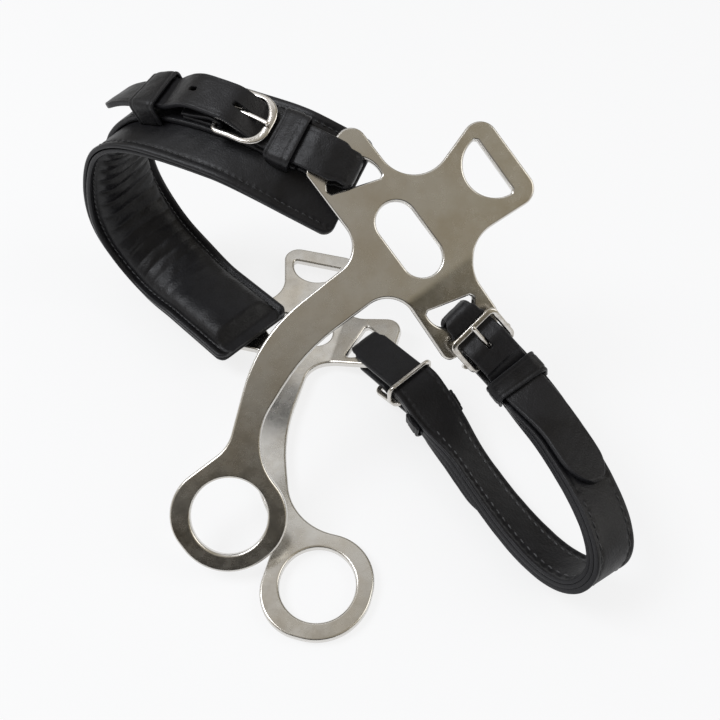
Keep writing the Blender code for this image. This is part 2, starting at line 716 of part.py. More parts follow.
def cut_box(target, end, spots, half_width, low, high, centre):
    """Cut a square opening through a strap, for a tongue to pass."""
    bm = bmesh.new()
    rows = [[bm.verts.new(end.place(s, centre + x, h)) for x, h in
             ((half_width, low), (half_width, high), (-half_width, high), (-half_width, low))] for s in spots]
    for first, second in zip(rows, rows[1:]):
        bridge(bm, first, second)
    bm.faces.new(rows[0])
    bm.faces.new(rows[-1])
    cutter = add_object(target.name + "_cutter", bm, thread)
    cutter.hide_render = True
    cutter.display_type = "WIRE"
    cutter.parent = target
    modifier = target.modifiers.new("slot", "BOOLEAN")
    modifier.operation = "DIFFERENCE"
    modifier.solver = "EXACT"
    modifier.object = cutter
    return cutter


# Noseband pad and strap

def pad_dome(route, s):
    """Return how far the filling stands in at a station."""
    inside = min(s - route.start, route.end - s) - PAD_BORDER
    return PAD_DOME * smooth_step(min(1.0, max(0.0, inside / PAD_DOME_RAMP)))


def dome_shape(x, height):
    half = PAD_WIDTH / 2 - PAD_BORDER
    if abs(x) >= half:
        return 0.0
    return height * (1 - (x / half) ** 4) ** 0.6


def lining_profile(route, s):
    """Return the lining's section: a shell that runs over the filling."""
    height = pad_dome(route, s)
    half = PAD_WIDTH / 2
    inner = half - PAD_BORDER
    spots = [-half] + [inner * share for share in (-1.0, -0.92, -0.6, 0.0, 0.6, 0.92, 1.0)] + [half]
    under = [(x, 0.0 - dome_shape(x, height)) for x in spots]
    over = [(x, -PAD_LINING - dome_shape(x, height)) for x in reversed(spots)]
    return under + over


def filling_profile(route, s):
    """Return the filling's section between the backing and the lining."""
    height = pad_dome(route, s)
    half = (PAD_WIDTH / 2 - PAD_BORDER) * 0.93
    spots = [half * share for share in (-1.0, -0.65, 0.0, 0.65, 1.0)]
    top = -TOUCH_GAP
    low = [(x, min(top - 2 * TOUCH_GAP, 3 * TOUCH_GAP - dome_shape(x, height))) for x in spots]
    return low + [(share * half, top) for share in (1.0, 0.5, 0.0, -0.5, -1.0)]


def nose_strap_shift(route, s):
    """Return how far the strap's middle is from the pad's middle at a station from the near slot."""
    first = NOSE_ARMS["near"]["strap_shift"]
    last = NOSE_ARMS["far"]["strap_shift"]
    share = (s - NOSE_SHIFT_FROM) / (NOSE_SHIFT_TO - NOSE_SHIFT_FROM)
    return first + (last - first) * smooth_step(min(1.0, max(0.0, share)))


def build_pad(route):
    """Build the noseband's padded layers."""
    whole = End(route, False)
    spots = route.grid(route.start, route.end)
    ends = [PAD_BORDER, PAD_BORDER + PAD_DOME_RAMP / 2, PAD_BORDER + PAD_DOME_RAMP]
    lining_spots = [route.start, *(route.start + e for e in ends),
                    *route.grid(route.start + ends[-1], route.end - ends[-1])[1:-1],
                    *(route.end - e for e in reversed(ends)), route.end]
    filled = PAD_BORDER + PAD_DOME_RAMP / 2
    backing = profile_box(0.0, PAD_WIDTH, BACKING_LOW, BACKING_TOP, 0.7 * MM, PAD_DIVISIONS)
    band_piece("pad_backing", whole, spots, lambda s: backing, leather)
    band_piece("pad_filling", whole, route.grid(route.start + filled, route.end - filled),
               lambda s: filling_profile(route, s), foam)
    band_piece("pad_lining", whole, lining_spots, lambda s: lining_profile(route, s), leather)

    def strap(s):
        shift = nose_strap_shift(route, s)
        return profile_box(shift, NOSE_STRAP_WIDTH, STRAP_LOW, STRAP_TOP, 0.8 * MM, (0.0,))

    spots = route.grid(NOSE_STRAP_START, route.length - NOSE_STRAP_START)
    band_piece("noseband_strap", whole, spots, strap, leather)


# Parts shared by the four strap ends

class Fastening:
    """A strap end: loop through the cheek, buckle with tongue, and where each of them sits."""

    def __init__(self, name, end, body_top, sizes, shift):
        self.name = name
        self.end = end
        self.body_top = body_top
        self.sizes = sizes
        self.shift = shift
        heel = sizes["heel"]
        self.heel_height = body_top(heel) + 2 * TOUCH_GAP + CHAPE_THICKNESS + WIRE_RADIUS
        self.half = sizes["thickness"] / 2
        over_heel = self.heel_height + WIRE_RADIUS + 2 * TOUCH_GAP + CHAPE_THICKNESS + self.half + 0.2 * MM
        self.path = rounded_outline([(s, over_heel + h if kind == "heel" else h, radius)
                                     for s, h, radius, kind in sizes["path"]], closed=False)
        front = sizes["front"]
        self.front_height = height_at(self.path, front) + self.half + TOUCH_GAP + WIRE_RADIUS

    def width(self, spot):
        """Return the billet's width: gathered inside the cheek's slot, pointed at its tip."""
        sizes = self.sizes
        above = abs(spot.y - sizes["slot_height"]) - PLATE_THICKNESS / 2
        away = max(0.0, above) / (LOOP_CLEARANCE + self.half)
        share = 1.0
        if spot.x < sizes["full_at"]:
            share = min(1.0, max(0.0, (spot.x - 0.2 * MM) / sizes["full_at"]))
            share = max(share, 0.6 * min(1.0, away))
        wide = sizes["fold"] + (sizes["width"] - sizes["fold"]) * smooth_step(share)
        left = self.path[-1].x - spot.x
        if left < 11 * MM and spot.y > sizes["slot_height"] - 20 * MM and spot.x > sizes["heel"]:
            wide *= 0.30 + 0.70 * math.sqrt(max(0.0, left / (11 * MM)))
        return wide

    def build_billet(self):
        """Build the strap end that passes through the cheek and back through the buckle."""
        sizes = self.sizes
        made = ribbon(self.name + "_billet", self.end, self.path, self.width, sizes["thickness"],
                      self.shift, leather)
        cut_box(made, self.end, stations(*sizes["tongue_slot"], 3 * MM), TONGUE_SLOT_HALF, sizes["slot_low"],
                self.heel_height + 12 * MM, self.shift(sizes["heel"]))

    def build_chape(self):
        """Build the short strap that holds the buckle's heel bar."""
        sizes = self.sizes
        heel = sizes["heel"]
        last = sizes["chape_end"]
        radius = WIRE_RADIUS + TOUCH_GAP + CHAPE_THICKNESS / 2
        low = self.heel_height - radius
        high_end = low + CHAPE_THICKNESS + TOUCH_GAP
        path = [Vector((last, low + self.body_top(last) - self.body_top(heel)))]
        for k in range(9):
            turn = -math.pi / 2 - math.pi * k / 8
            path.append(Vector((heel + radius * math.cos(turn), self.heel_height + radius * math.sin(turn))))
        path.append(Vector((heel + 2.5 * MM, self.heel_height + radius)))
        path.append(Vector((heel + 0.7 * (last - heel), high_end + 0.4 * MM + self.body_top(last)
                            - self.body_top(heel))))
        path.append(Vector((last, high_end + self.body_top(last) - self.body_top(heel))))
        made = ribbon(self.name + "_chape", self.end, path, lambda spot: sizes["width"] - 1 * MM,
                      CHAPE_THICKNESS, self.shift, leather)
        past = radius + 2 * MM
        spots = stations(heel - past, heel + past + 1.2 * MM, 3 * MM)
        cut_box(made, self.end, spots, TONGUE_RADIUS + 0.7 * MM, self.heel_height - past,
                self.heel_height + past, self.shift(heel))

    def frame_points(self):
        """Return the buckle frame's middle line: heel bar, two rails and front bar."""
        sizes = self.sizes
        half = sizes["width"] / 2 + SIDE_ROOM + WIRE_RADIUS
        corners = [(sizes["front"], half, sizes["front_corner"]), (sizes["heel"], half, 2.5 * MM),
                   (sizes["heel"], -half, 2.5 * MM), (sizes["front"], -half, sizes["front_corner"])]
        points = []
        for spot in rounded_outline(corners):
            share = (spot.x - sizes["front"]) / (sizes["heel"] - sizes["front"])
            height = self.front_height + (self.heel_height - self.front_height) * share
            points.append((spot.x, spot.y, height))
        return points

    def build_buckle(self):
        """Build the buckle's wire frame."""
        centre = self.shift(self.sizes["heel"])
        points = [self.end.place(s, centre + across, h) for s, across, h in self.frame_points()]
        middle = (self.sizes["front"] + self.sizes["heel"]) / 2
        up = self.end.direction(middle, (0, 0, 1))
        tube(self.name + "_buckle", points, WIRE_RADIUS, nickel, closed=True, reference=up)

    def build_tongue(self):
        """Build the tongue: a hook round the heel bar and a prong that rests on the front bar."""
        sizes = self.sizes
        heel = sizes["heel"]
        radius = WIRE_RADIUS + TOUCH_GAP + TONGUE_RADIUS
        path = []
        for k in range(10):
            turn = math.radians(-120 + 210 * k / 9)
            path.append((heel + radius * math.cos(turn), self.heel_height + radius * math.sin(turn)))
        front = sizes["front"]
        top = self.front_height + WIRE_RADIUS + TOUCH_GAP + TONGUE_RADIUS
        for share in (0.35, 0.7, 1.0):
            path.append((heel + (front - heel) * share, self.heel_height + radius
                         + (top - self.heel_height - radius) * share))
        path.append((front - 1.4 * MM, top - 0.1 * MM))
        centre = self.shift(heel)
        points = [self.end.place(s, centre, h) for s, h in path]
        tube(self.name + "_tongue", points, TONGUE_RADIUS, nickel, sides=6,
             reference=self.end.direction(heel, (0, 1, 0)))

    def hinge(self):
        """Return the point and direction of the heel bar."""
        heel = self.sizes["heel"]
        return (self.end.place(heel, self.shift(heel), self.heel_height), self.end.direction(heel, (0, 1, 0)))


def staple_profile(shift, inner_half, foot, top, thickness):
    """Return a keeper's section: open below, standing on its two feet."""
    outer = inner_half + thickness
    c = 1.6 * MM
    e = 0.9 * MM
    return [(shift + x, h) for x, h in (
        (inner_half, foot), (inner_half, top - e), (inner_half - e, top), (e - inner_half, top),
        (-inner_half, top - e), (-inner_half, foot), (-outer, foot), (-outer, top + thickness - c),
        (-outer + 0.3 * c, top + thickness - 0.3 * c), (-outer + c, top + thickness),
        (outer - c, top + thickness), (outer - 0.3 * c, top + thickness - 0.3 * c),
        (outer, top + thickness - c), (outer, foot))]


def build_staple(name, fastening, first, last, foot, inner_half, room):
    """Build an open keeper over a billet, standing on the leather below it."""
    def profile(s):
        slope = height_at(fastening.path, s) + fastening.half * 1.12 + room
        return staple_profile(fastening.shift(s), inner_half, foot, slope, KEEPER_THICKNESS)
    band_piece(name, fastening.end, fastening.end.grid(first, last), profile, leather)


def build_hooked_keeper(name, fastening, first, last, lift):
    """Build a keeper over a curb billet, whose hems are held between the body's two leathers."""
    inner_half = CURB_WIDTH / 2 + SIDE_ROOM
    outer = inner_half + KEEPER_THICKNESS
    hem = CURB_FILLER_WIDTH / 2 + TOUCH_GAP
    c = 1.6 * MM
    e = 0.9 * MM

    def profile(s):
        low = CURB_FILLER_LOW + lift(s)
        high = CURB_FILLER_TOP + lift(s)
        top = height_at(fastening.path, s) + fastening.half * 1.12 + TOUCH_GAP
        return [(hem, low), (hem, high), (inner_half, high), (inner_half, top - e), (inner_half - e, top),
                (e - inner_half, top), (-inner_half, top - e), (-inner_half, high), (-hem, high), (-hem, low),
                (-outer, low), (-outer, top + KEEPER_THICKNESS - c), (-outer + c, top + KEEPER_THICKNESS),
                (outer - c, top + KEEPER_THICKNESS), (outer, top + KEEPER_THICKNESS - c), (outer, low)]
    band_piece(name, fastening.end, fastening.end.grid(first, last), profile, leather)


def seam(name, end, spots, across, height, outward=True):
    """Lay one row of stitching: a thin ridge of thread along the leather."""
    half = STITCH_SIZE / 2
    tip = height + (1 if outward else -1) * STITCH_SIZE * 0.8

    def section(s):
        return [(across + half, height), (across, tip), (across - half, height)]
    band_piece(name, end, spots, section, thread)


def build_nose_seams(route):
    """Build the two seams along the pad's outer face."""
    whole = End(route, False)
    height = BACKING_TOP + TOUCH_GAP
    inset = PAD_WIDTH / 2 - PAD_STITCH_INSET
    spots = route.grid(route.start + PAD_STITCH_INSET, route.end - PAD_STITCH_INSET)
    seam("pad_upper_seam", whole, spots, inset, height)
    seam("pad_lower_seam", whole, spots, -inset, height)


def build_curb_seams(route):
    """Build the two seams on each face of the curb strap."""
    whole = End(route, False)
    inset = CURB_WIDTH / 2 - STITCH_INSET
    low = CURB_INNER_LOW - TOUCH_GAP
    high = CURB_LEATHER_TOP + TOUCH_GAP
    near, far = CURB_SPOTS["near"], CURB_SPOTS["far"]
    under = route.grid(near["seam_start"], route.length - far["seam_start"])
    clear = route.grid(near["reach"] + STITCH_INSET, route.length - far["reach"] - STITCH_INSET)
    for word, side in (("upper", 1), ("lower", -1)):
        seam("curb_inner_" + word + "_seam", whole, under, side * inset, low + CURB_FULL_LIFT, outward=False)
        seam("curb_outer_" + word + "_seam", whole, clear, side * inset, high + CURB_FULL_LIFT)


def nose_fastening(side, route):
    """Return the noseband's fastening at one cheek."""
    end = End(route, side == "far")
    inner = STRAP_LOW + NOSE_STRAP_THICKNESS / 2
    outer = NOSE_OUTER_LOW + NOSE_STRAP_THICKNESS / 2
    lying = STRAP_TOP + TOUCH_GAP + NOSE_STRAP_THICKNESS / 2 + 0.1 * MM
    arm = NOSE_ARMS[side]
    tip = [(arm["reach"], lying + arm["tip_lift"], 0, "plate")]
    if arm["tip_lift"]:
        tip.insert(0, (RUNNER_END + 2 * MM, lying, 30 * MM, "plate"))
    sizes = {
        "thickness": NOSE_STRAP_THICKNESS, "width": NOSE_BILLET_WIDTH, "fold": NOSE_FOLD_WIDTH,
        "full_at": 9 * MM,
        "slot_height": NOSE_PLATE_LOW + PLATE_THICKNESS / 2,
        "front": NOSE_BUCKLE_FRONT, "heel": NOSE_BUCKLE_HEEL, "front_corner": NOSE_FRAME_CORNER,
        "chape_end": NOSE_BUCKLE_HEEL + NOSE_CHAPE_LENGTH,
        "tongue_slot": (NOSE_BUCKLE_FRONT + 6.5 * MM, NOSE_BUCKLE_HEEL - 2.2 * MM),
        "slot_low": STRAP_TOP + 0.2 * MM,
        "path": [
            (NOSE_STRAP_START - TOUCH_GAP, inner, 0, "plate"), (0.0, inner, 3.2 * MM, "plate"),
            (0.0, outer, 3.2 * MM, "plate"), (NOSE_BAR_END, outer, 12 * MM, "plate"),
            (NOSE_BUCKLE_FRONT - 6.5 * MM, lying, 12 * MM, "plate"),
            (NOSE_BUCKLE_FRONT + 3.5 * MM, lying, 9 * MM, "plate"),
            (NOSE_BUCKLE_HEEL - 5 * MM, 0.2 * MM, 10 * MM, "heel"),
            (NOSE_BUCKLE_HEEL + 11 * MM, 0.8 * MM, 16 * MM, "heel"),
            (RUNNER_START - 2.9 * MM, lying, 10 * MM, "plate"), *tip,
        ],
    }
    if side == "far":
        def shift(s):
            return nose_strap_shift(route, route.length - s)
    else:
        def shift(s):
            return nose_strap_shift(route, s)
    return Fastening(side + "_nose", end, lambda s: STRAP_TOP, sizes, shift)


def curb_lift(route, s):
    """Return how far the curb's body is moved out to lie on the route's middle."""
    inside = min(s - CURB_SPOTS["near"]["start"], route.length - CURB_SPOTS["far"]["start"] - s)
    return CURB_FULL_LIFT * smooth_step(min(1.0, max(0.0, inside / CURB_LIFT_RUN)))


def curb_fastening(side, route):
    """Return the curb strap's fastening at one cheek."""
    end = End(route, side == "far")
    inner = (CURB_INNER_LOW + CURB_INNER_TOP) / 2
    outer = (CURB_OUTER_LOW + CURB_OUTER_TOP) / 2

    spots = CURB_SPOTS[side]

    def body_top(s):
        return CURB_LEATHER_TOP + curb_lift(route, end.station(max(s, spots["start"])))

    lying = CURB_LEATHER_TOP + CURB_FULL_LIFT + 2 * TOUCH_GAP + CURB_BILLET_THICKNESS / 2
    sizes = {
        "thickness": CURB_BILLET_THICKNESS, "width": CURB_BILLET_WIDTH, "fold": CURB_FOLD_WIDTH,
        "full_at": 8 * MM,
        "slot_height": 0.0,
        "front": spots["front"], "heel": spots["heel"], "front_corner": CURB_FRAME_CORNER,
        "chape_end": spots["heel"] + CURB_CHAPE_LENGTH,
        "tongue_slot": (spots["front"] + 5.2 * MM, spots["heel"] - 0.6 * MM),
        "slot_low": CURB_OUTER_LOW - 1.0 * MM,
        "path": [
            (spots["start"] - TOUCH_GAP, inner, 0, "plate"), (0.0, inner, 3.0 * MM, "plate"),
            (0.0, outer, 3.0 * MM, "plate"), (spots["bar_end"], outer, 8 * MM, "plate"),
            (spots["heel"] - 4.5 * MM, 0.3 * MM, 8 * MM, "heel"),
            (spots["heel"] + 6.5 * MM, 0.2 * MM, 9 * MM, "heel"),
            (spots["ramp"][3] + 5.4 * MM, lying + 0.2 * MM, 20 * MM, "plate"),
            (spots["reach"], lying, 0, "plate"),
        ],
    }
    return Fastening(side + "_curb", end, body_top, sizes, lambda s: 0.0)


def build_curb_body(route):
    """Build the three stitched layers of the curb strap."""
    whole = End(route, False)

    def lift(s):
        return curb_lift(route, s)

    spots = route.grid(CURB_SPOTS["near"]["start"], route.length - CURB_SPOTS["far"]["start"])
    layers = (
        ("curb_lining", CURB_WIDTH, CURB_INNER_LOW, CURB_LINING_TOP),
        ("curb_filler", CURB_FILLER_WIDTH, CURB_FILLER_LOW, CURB_FILLER_TOP),
        ("curb_outer", CURB_WIDTH, CURB_LEATHER_LOW, CURB_LEATHER_TOP),
    )
    for name, width, low, high in layers:
        band_piece(name, whole, spots, lambda s, w=width, a=low, b=high:
                   profile_box(0.0, w, a + lift(s), b + lift(s), 0.7 * MM), leather)
    build_curb_seams(route)


def build_curb_loop(fastening):
    """Build the wire loop that hangs from the buckle's rails round the inner face of the strap."""
    sizes = fastening.sizes
    half = CURB_WIDTH / 2 + 0.5 * MM + LOOP_WIRE_RADIUS
    s = sizes["heel"] - 4 * MM
    share = (s - sizes["front"]) / (sizes["heel"] - sizes["front"])
    rail = fastening.front_height + (fastening.heel_height - fastening.front_height) * share
    high = rail - WIRE_RADIUS - 2 * TOUCH_GAP
    low = CURB_INNER_LOW - TOUCH_GAP - LOOP_WIRE_RADIUS - 0.3 * MM
    corners = [(half, high, 0), (half, low, 3 * MM), (-half, low, 3 * MM), (-half, high, 0)]
    lean = 3.0 * MM
    points = []
    for spot in rounded_outline(corners, closed=False):
        lower = (high - spot.y) / (high - low)
        points.append(fastening.end.place(s + lean * lower, spot.x, spot.y))
    tube(fastening.name + "_loop", points, LOOP_WIRE_RADIUS, nickel,
         reference=fastening.end.direction(s, (1, 0, 0)))


def build_fastenings(nose, curb):
    """Build the four strap ends and return the poses of their tongues and runners."""
    joints = {}
    for side in ("near", "far"):
        fastening = nose_fastening(side, nose)
        fastening.build_billet()
        fastening.build_chape()
        fastening.build_buckle()
        fastening.build_tongue()
        foot = BACKING_TOP + 1.5 * TOUCH_GAP
        inner_half = NOSE_STRAP_WIDTH / 2 + SIDE_ROOM
        build_staple(side + "_nose_keeper", fastening, NOSE_KEEPER_START, NOSE_KEEPER_END, foot, inner_half,
                     TOUCH_GAP)
        build_staple(side + "_nose_runner", fastening, RUNNER_START, RUNNER_END, foot,
                     inner_half + 0.2 * MM, 0.5 * MM)
        joints[side + "_nose_tongue"] = fastening.hinge()
        joints[side + "_nose_runner"] = (fastening.end.place(RUNNER_AT, fastening.shift(RUNNER_AT), STRAP_TOP),
                                         fastening.end.direction(RUNNER_AT, (1, 0, 0)))
        fastening = curb_fastening(side, curb)
        fastening.build_billet()
        fastening.build_chape()
        fastening.build_buckle()
        fastening.build_tongue()
        build_curb_loop(fastening)
        build_hooked_keeper(side + "_curb_keeper", fastening, CURB_SPOTS[side]["ramp"][3],
                            CURB_SPOTS[side]["keeper_end"],
                            lambda s, end=fastening.end: curb_lift(curb, end.station(s)))
        joints[side + "_curb_tongue"] = fastening.hinge()
    return joints


def bar_middle(frame, distance):
    """Return the middle of the slot bar that a strap loops round."""
    return frame["bar"] + frame["along"] * distance


def add_pivot(name, ends, distance, parent=None):
    """Add an empty on the line through both slot bars that a strap swings about."""
    near = bar_middle(ends["near"], distance)
    far = bar_middle(ends["far"], distance)
    pivot = bpy.data.objects.new(name, None)
    bpy.context.scene.collection.objects.link(pivot)
    pose = Matrix.Translation((near + far) / 2) @ (near - far).to_track_quat("X", "Z").to_matrix().to_4x4()
    if parent:
        pivot.parent = parent
        pivot.matrix_parent_inverse = parent.matrix_world.inverted()
    pivot.matrix_world = pose
    bpy.context.view_layer.update()
    return pivot


def attach(pivot, belongs):
    """Hang the loose pieces whose names belong here on a pivot, without moving them."""
    for item in bpy.data.objects:
        if item.type == "MESH" and item.parent is None and belongs(item.name):
            item.parent = pivot
            item.matrix_parent_inverse = pivot.matrix_world.inverted()


def settle():
    """Lay everything on its three lowest points, with the origin under the middle of the whole."""
    turn = SEAT_NORMAL.rotation_difference(Vector((0, 0, -1))).to_matrix().to_4x4()
    for item in bpy.data.objects:
        if item.parent is None:
            item.matrix_world = turn @ item.matrix_world
    bpy.context.view_layer.update()
    graph = bpy.context.evaluated_depsgraph_get()
    low = Vector((1e9, 1e9, 1e9))
    high = -low
    for item in bpy.data.objects:
        if item.type != "MESH" or item.hide_render:
            continue
        mesh = item.evaluated_get(graph).to_mesh()
        for vertex in mesh.vertices:
            point = item.matrix_world @ vertex.co
            low = Vector(map(min, low, point))
            high = Vector(map(max, high, point))
        item.evaluated_get(graph).to_mesh_clear()
    move = Vector((-(low.x + high.x) / 2, -(low.y + high.y) / 2, -low.z))
    for item in bpy.data.objects:
        if item.parent is None:
            item.matrix_world = Matrix.Translation(move) @ item.matrix_world


def set_pivot(name, point, axis):
    """Put an object's origin on its joint axis, with its local X along the axis."""
    item = bpy.data.objects[name]
    turn = axis.normalized().to_track_quat("X", "Z").to_matrix().to_4x4()
    pose = Matrix.Translation(point) @ turn
    item.data.transform(pose.inverted())
    item.matrix_world = pose


def main():
    """Build the hackamore."""
    for item in list(bpy.data.objects):
        bpy.data.objects.remove(item, do_unlink=True)
    for side in CHEEKS:
        build_cheek(side)
    nose_ends = nose_frames()
    nose = Route(nose_ends["near"], nose_ends["far"], NOSE_APEX, NOSE_APEX_TANGENT, NOSE_APEX_WIDTH,
                 NOSE_SHARED)
    build_pad(nose)
    build_nose_seams(nose)
    curb_ends = curb_frames()
    curb = Route(curb_ends["near"], curb_ends["far"], CURB_APEX, CURB_APEX_TANGENT, CURB_APEX_WIDTH,
                 CURB_SHARED)
    build_curb_body(curb)
    joints = build_fastenings(nose, curb)
    for name, (point, axis) in joints.items():
        set_pivot(name, point, axis)
    noseband = add_pivot("noseband_swing", nose_ends, NOSE_BAR_MIDDLE)
    near_side = add_pivot("near_cheek_swing", nose_ends, NOSE_BAR_MIDDLE, noseband)
    curb_swing = add_pivot("curb_swing", curb_ends, CURB_BAR_MIDDLE, near_side)
    attach(near_side, lambda name: name == "near_cheek")
    attach(curb_swing, lambda name: "curb" in name)
    attach(noseband, lambda name: "nose" in name or name.startswith("pad_"))
    settle()


main()
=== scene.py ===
"""Dress the hackamore: worn steel cheeks, a padded leather noseband and a stitched curb strap.

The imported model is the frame. Lengths are metres, stations run along a strap from a
cheek's slot, and heights stand away from the horse.
"""
import json
import logging
import math
from collections.abc import Callable, Sequence
from dataclasses import dataclass, field
from enum import Enum

import bmesh
import bpy
import numpy as np
from mathutils import Euler, Matrix, Vector


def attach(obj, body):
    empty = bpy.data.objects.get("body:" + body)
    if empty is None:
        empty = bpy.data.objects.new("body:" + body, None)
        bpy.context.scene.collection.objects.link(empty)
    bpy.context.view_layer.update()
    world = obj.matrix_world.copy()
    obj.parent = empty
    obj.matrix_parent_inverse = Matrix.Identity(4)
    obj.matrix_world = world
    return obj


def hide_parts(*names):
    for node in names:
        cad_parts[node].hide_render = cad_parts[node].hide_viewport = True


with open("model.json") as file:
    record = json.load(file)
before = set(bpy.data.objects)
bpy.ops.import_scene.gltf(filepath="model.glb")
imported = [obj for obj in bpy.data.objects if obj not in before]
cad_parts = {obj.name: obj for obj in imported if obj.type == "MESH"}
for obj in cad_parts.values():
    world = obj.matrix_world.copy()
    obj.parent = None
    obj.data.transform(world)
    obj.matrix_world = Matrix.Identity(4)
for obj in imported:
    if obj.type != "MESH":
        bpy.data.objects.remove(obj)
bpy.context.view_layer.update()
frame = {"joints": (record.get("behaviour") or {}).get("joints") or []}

Array = np.ndarray
Profile = Callable[[Array], Array]
Relief = Callable[[Array, Array, Array], Array]

MM = 0.001
LOG = logging.getLogger("hackamore")
FINE_ARC = math.radians(4.0)
TOUCH_GAP = 0.3 * MM
LOOP_CLEARANCE = 1.0 * MM
BAR_TO_HINGE = 9.0 * MM
HALF_PLATE = 2.0 * MM
IMAGE_SIZE = 720
SENSOR_WIDTH = 36.0
MIRRORED_RAYS = ("Is Glossy Ray", "Is Transmission Ray")


class Side(Enum):
    """The two cheeks: the near one is on top as the object lies."""

    NEAR = "near"
    FAR = "far"


class Hole(Enum):
    """The openings of a cheek plate."""

    OVAL = "oval"
    RING = "ring"
    HEAD = "head"
    NOSE = "nose"
    CURB = "curb"


# Numbers and curves


def unit(vectors: Array) -> Array:
    """Return the vectors at length one."""
    return vectors / np.linalg.norm(vectors, axis=-1, keepdims=True)


def smooth_step(share: Array | float) -> Array | float:
    """Return an eased share that starts and ends level."""
    inside = np.clip(share, 0.0, 1.0)
    return inside * inside * (3 - 2 * inside)


def bump(values: Array, centre: float, spread: float) -> Array:
    """Return a bell of height one round a centre."""
    return np.exp(-((values - centre) / spread) ** 2)


def ripple(along: Array, across: Array, scale: float, seed: float) -> Array:
    """Return a slow unevenness between -1 and 1, as worn leather has.

    Args:
        along: Places along the strap.
        across: Places across the strap.
        scale: Length of the longest wave.
        seed: Shifts the pattern, so that no two pieces are alike.

    Returns:
        One value for each place.
    """
    a = 2 * math.pi * along / scale
    b = 2 * math.pi * across / scale
    total = np.sin(a + 1.7 * seed) * np.cos(1.3 * b + seed)
    total = total + 0.6 * np.sin(2.3 * a - 1.9 * b + 2.9 * seed)
    total = total + 0.4 * np.sin(4.1 * a + 3.3 * b - 1.3 * seed)
    return total / 2.0


def bezier(a: Array, b: Array, c: Array, d: Array, t: Array) -> Array:
    """Return the points of a cubic curve at the shares t."""
    return a * (1 - t) ** 3 + b * (3 * t * (1 - t) ** 2) + c * (3 * t * t * (1 - t)) + d * t ** 3


def rounded_outline(corners: Sequence[tuple[float, float, float]], closed: bool = True) -> Array:
    """Return a polygon whose corners are rounded by arcs.

    Args:
        corners: Each corner's x, y and radius.
        closed: False for an open line, whose two ends stay as they are.

    Returns:
        The points, one row each.
    """
    points = []
    count = len(corners)
    for i, (x, y, radius) in enumerate(corners):
        corner = np.array((x, y))
        if radius <= 0 or (not closed and i in (0, count - 1)):
            points.append(corner)
            continue
        before = np.array(corners[i - 1][:2]) - corner
        after = np.array(corners[(i + 1) % count][:2]) - corner
        to_before = unit(before)
        to_after = unit(after)
        half = math.acos(np.clip(to_before @ to_after, -1, 1)) / 2
        reach = 0.499 * min(np.linalg.norm(before), np.linalg.norm(after))
        tangent = min(radius / math.tan(half), reach)
        real_radius = tangent * math.tan(half)
        centre = corner + unit(to_before + to_after) * (real_radius / math.sin(half))
        start = corner + to_before * tangent - centre
        sweep = math.pi - 2 * half
        side = 1.0 if to_before[0] * to_after[1] - to_before[1] * to_after[0] < 0 else -1.0
        steps = max(2, math.ceil(sweep / FINE_ARC))
        for k in range(steps + 1):
            turn = side * sweep * k / steps
            cos, sin = math.cos(turn), math.sin(turn)
            turned = (cos * start[0] - sin * start[1], sin * start[0] + cos * start[1])
            points.append(centre + np.array(turned))
    return np.array(points)


def resample(points: Array, step: float, closed: bool = False) -> Array:
    """Return points evenly spaced along a line.

    Args:
        points: The line's points, one row each.
        step: Wanted distance between points.
        closed: True when the last point joins the first.

    Returns:
        The new points. A closed line's first point isn't repeated.
    """
    line = np.vstack([points, points[:1]]) if closed else points
    marks = np.concatenate([[0.0], np.cumsum(np.linalg.norm(np.diff(line, axis=0), axis=1))])
    count = max(4, math.ceil(marks[-1] / step))
    wanted = np.linspace(0.0, marks[-1], count + 1)
    if closed:
        wanted = wanted[:-1]
    return np.column_stack([np.interp(wanted, marks, line[:, k]) for k in range(line.shape[1])])


def left_normals(path: Array) -> Array:
    """Return the left-hand normal at each point of an open plane line."""
    way = unit(np.gradient(path, axis=0))
    return np.column_stack([-way[:, 1], way[:, 0]])


def height_at(path: Array, stations: Array | float) -> Array:
    """Return the height of a line's last crossing of each station.

    Args:
        path: Stations and heights along the line, in rows.
        stations: Where the height is wanted.

    Returns:
        The heights.
    """
    wanted = np.atleast_1d(np.asarray(stations, float))
    found = np.full(wanted.shape, path[-1, 1])
    for before, after in zip(path, path[1:]):
        low, high = min(before[0], after[0]), max(before[0], after[0])
        if high <= low:
            continue
        inside = (wanted >= low) & (wanted <= high)
        share = (wanted[inside] - before[0]) / (after[0] - before[0])
        found[inside] = before[1] + share * (after[1] - before[1])
    return found


# Meshes


def add_mesh(name: str, points: Array, faces: Sequence[Sequence[int]],
             material: bpy.types.Material) -> bpy.types.Object:
    """Return a new object of shaded-smooth faces in one material.

    Args:
        name: The object's name.
        points: The corners.
        faces: Each face's corners, by index.
        material: The finish.

    Returns:
        The object.
    """
    mesh = bpy.data.meshes.new(name)
    mesh.from_pydata(points.reshape(-1, 3).tolist(), [], faces)
    mesh.materials.append(material)
    mesh.shade_smooth()
    made = bpy.data.objects.new(name, mesh)
    bpy.context.scene.collection.objects.link(made)
    return made


def enclosed_volume(points: Array, faces: Array) -> float:
    """Return the volume inside quads, negative when they face inward.

    Args:
        points: The corners.
        faces: Each quad's four corners, by index.

    Returns:
        The volume.
    """
    a, b, c, d = (points[faces[:, k]] for k in range(4))
    first = np.einsum("ij,ij->i", a, np.cross(b, c))
    second = np.einsum("ij,ij->i", a, np.cross(c, d))
    return float((first + second).sum() / 6)


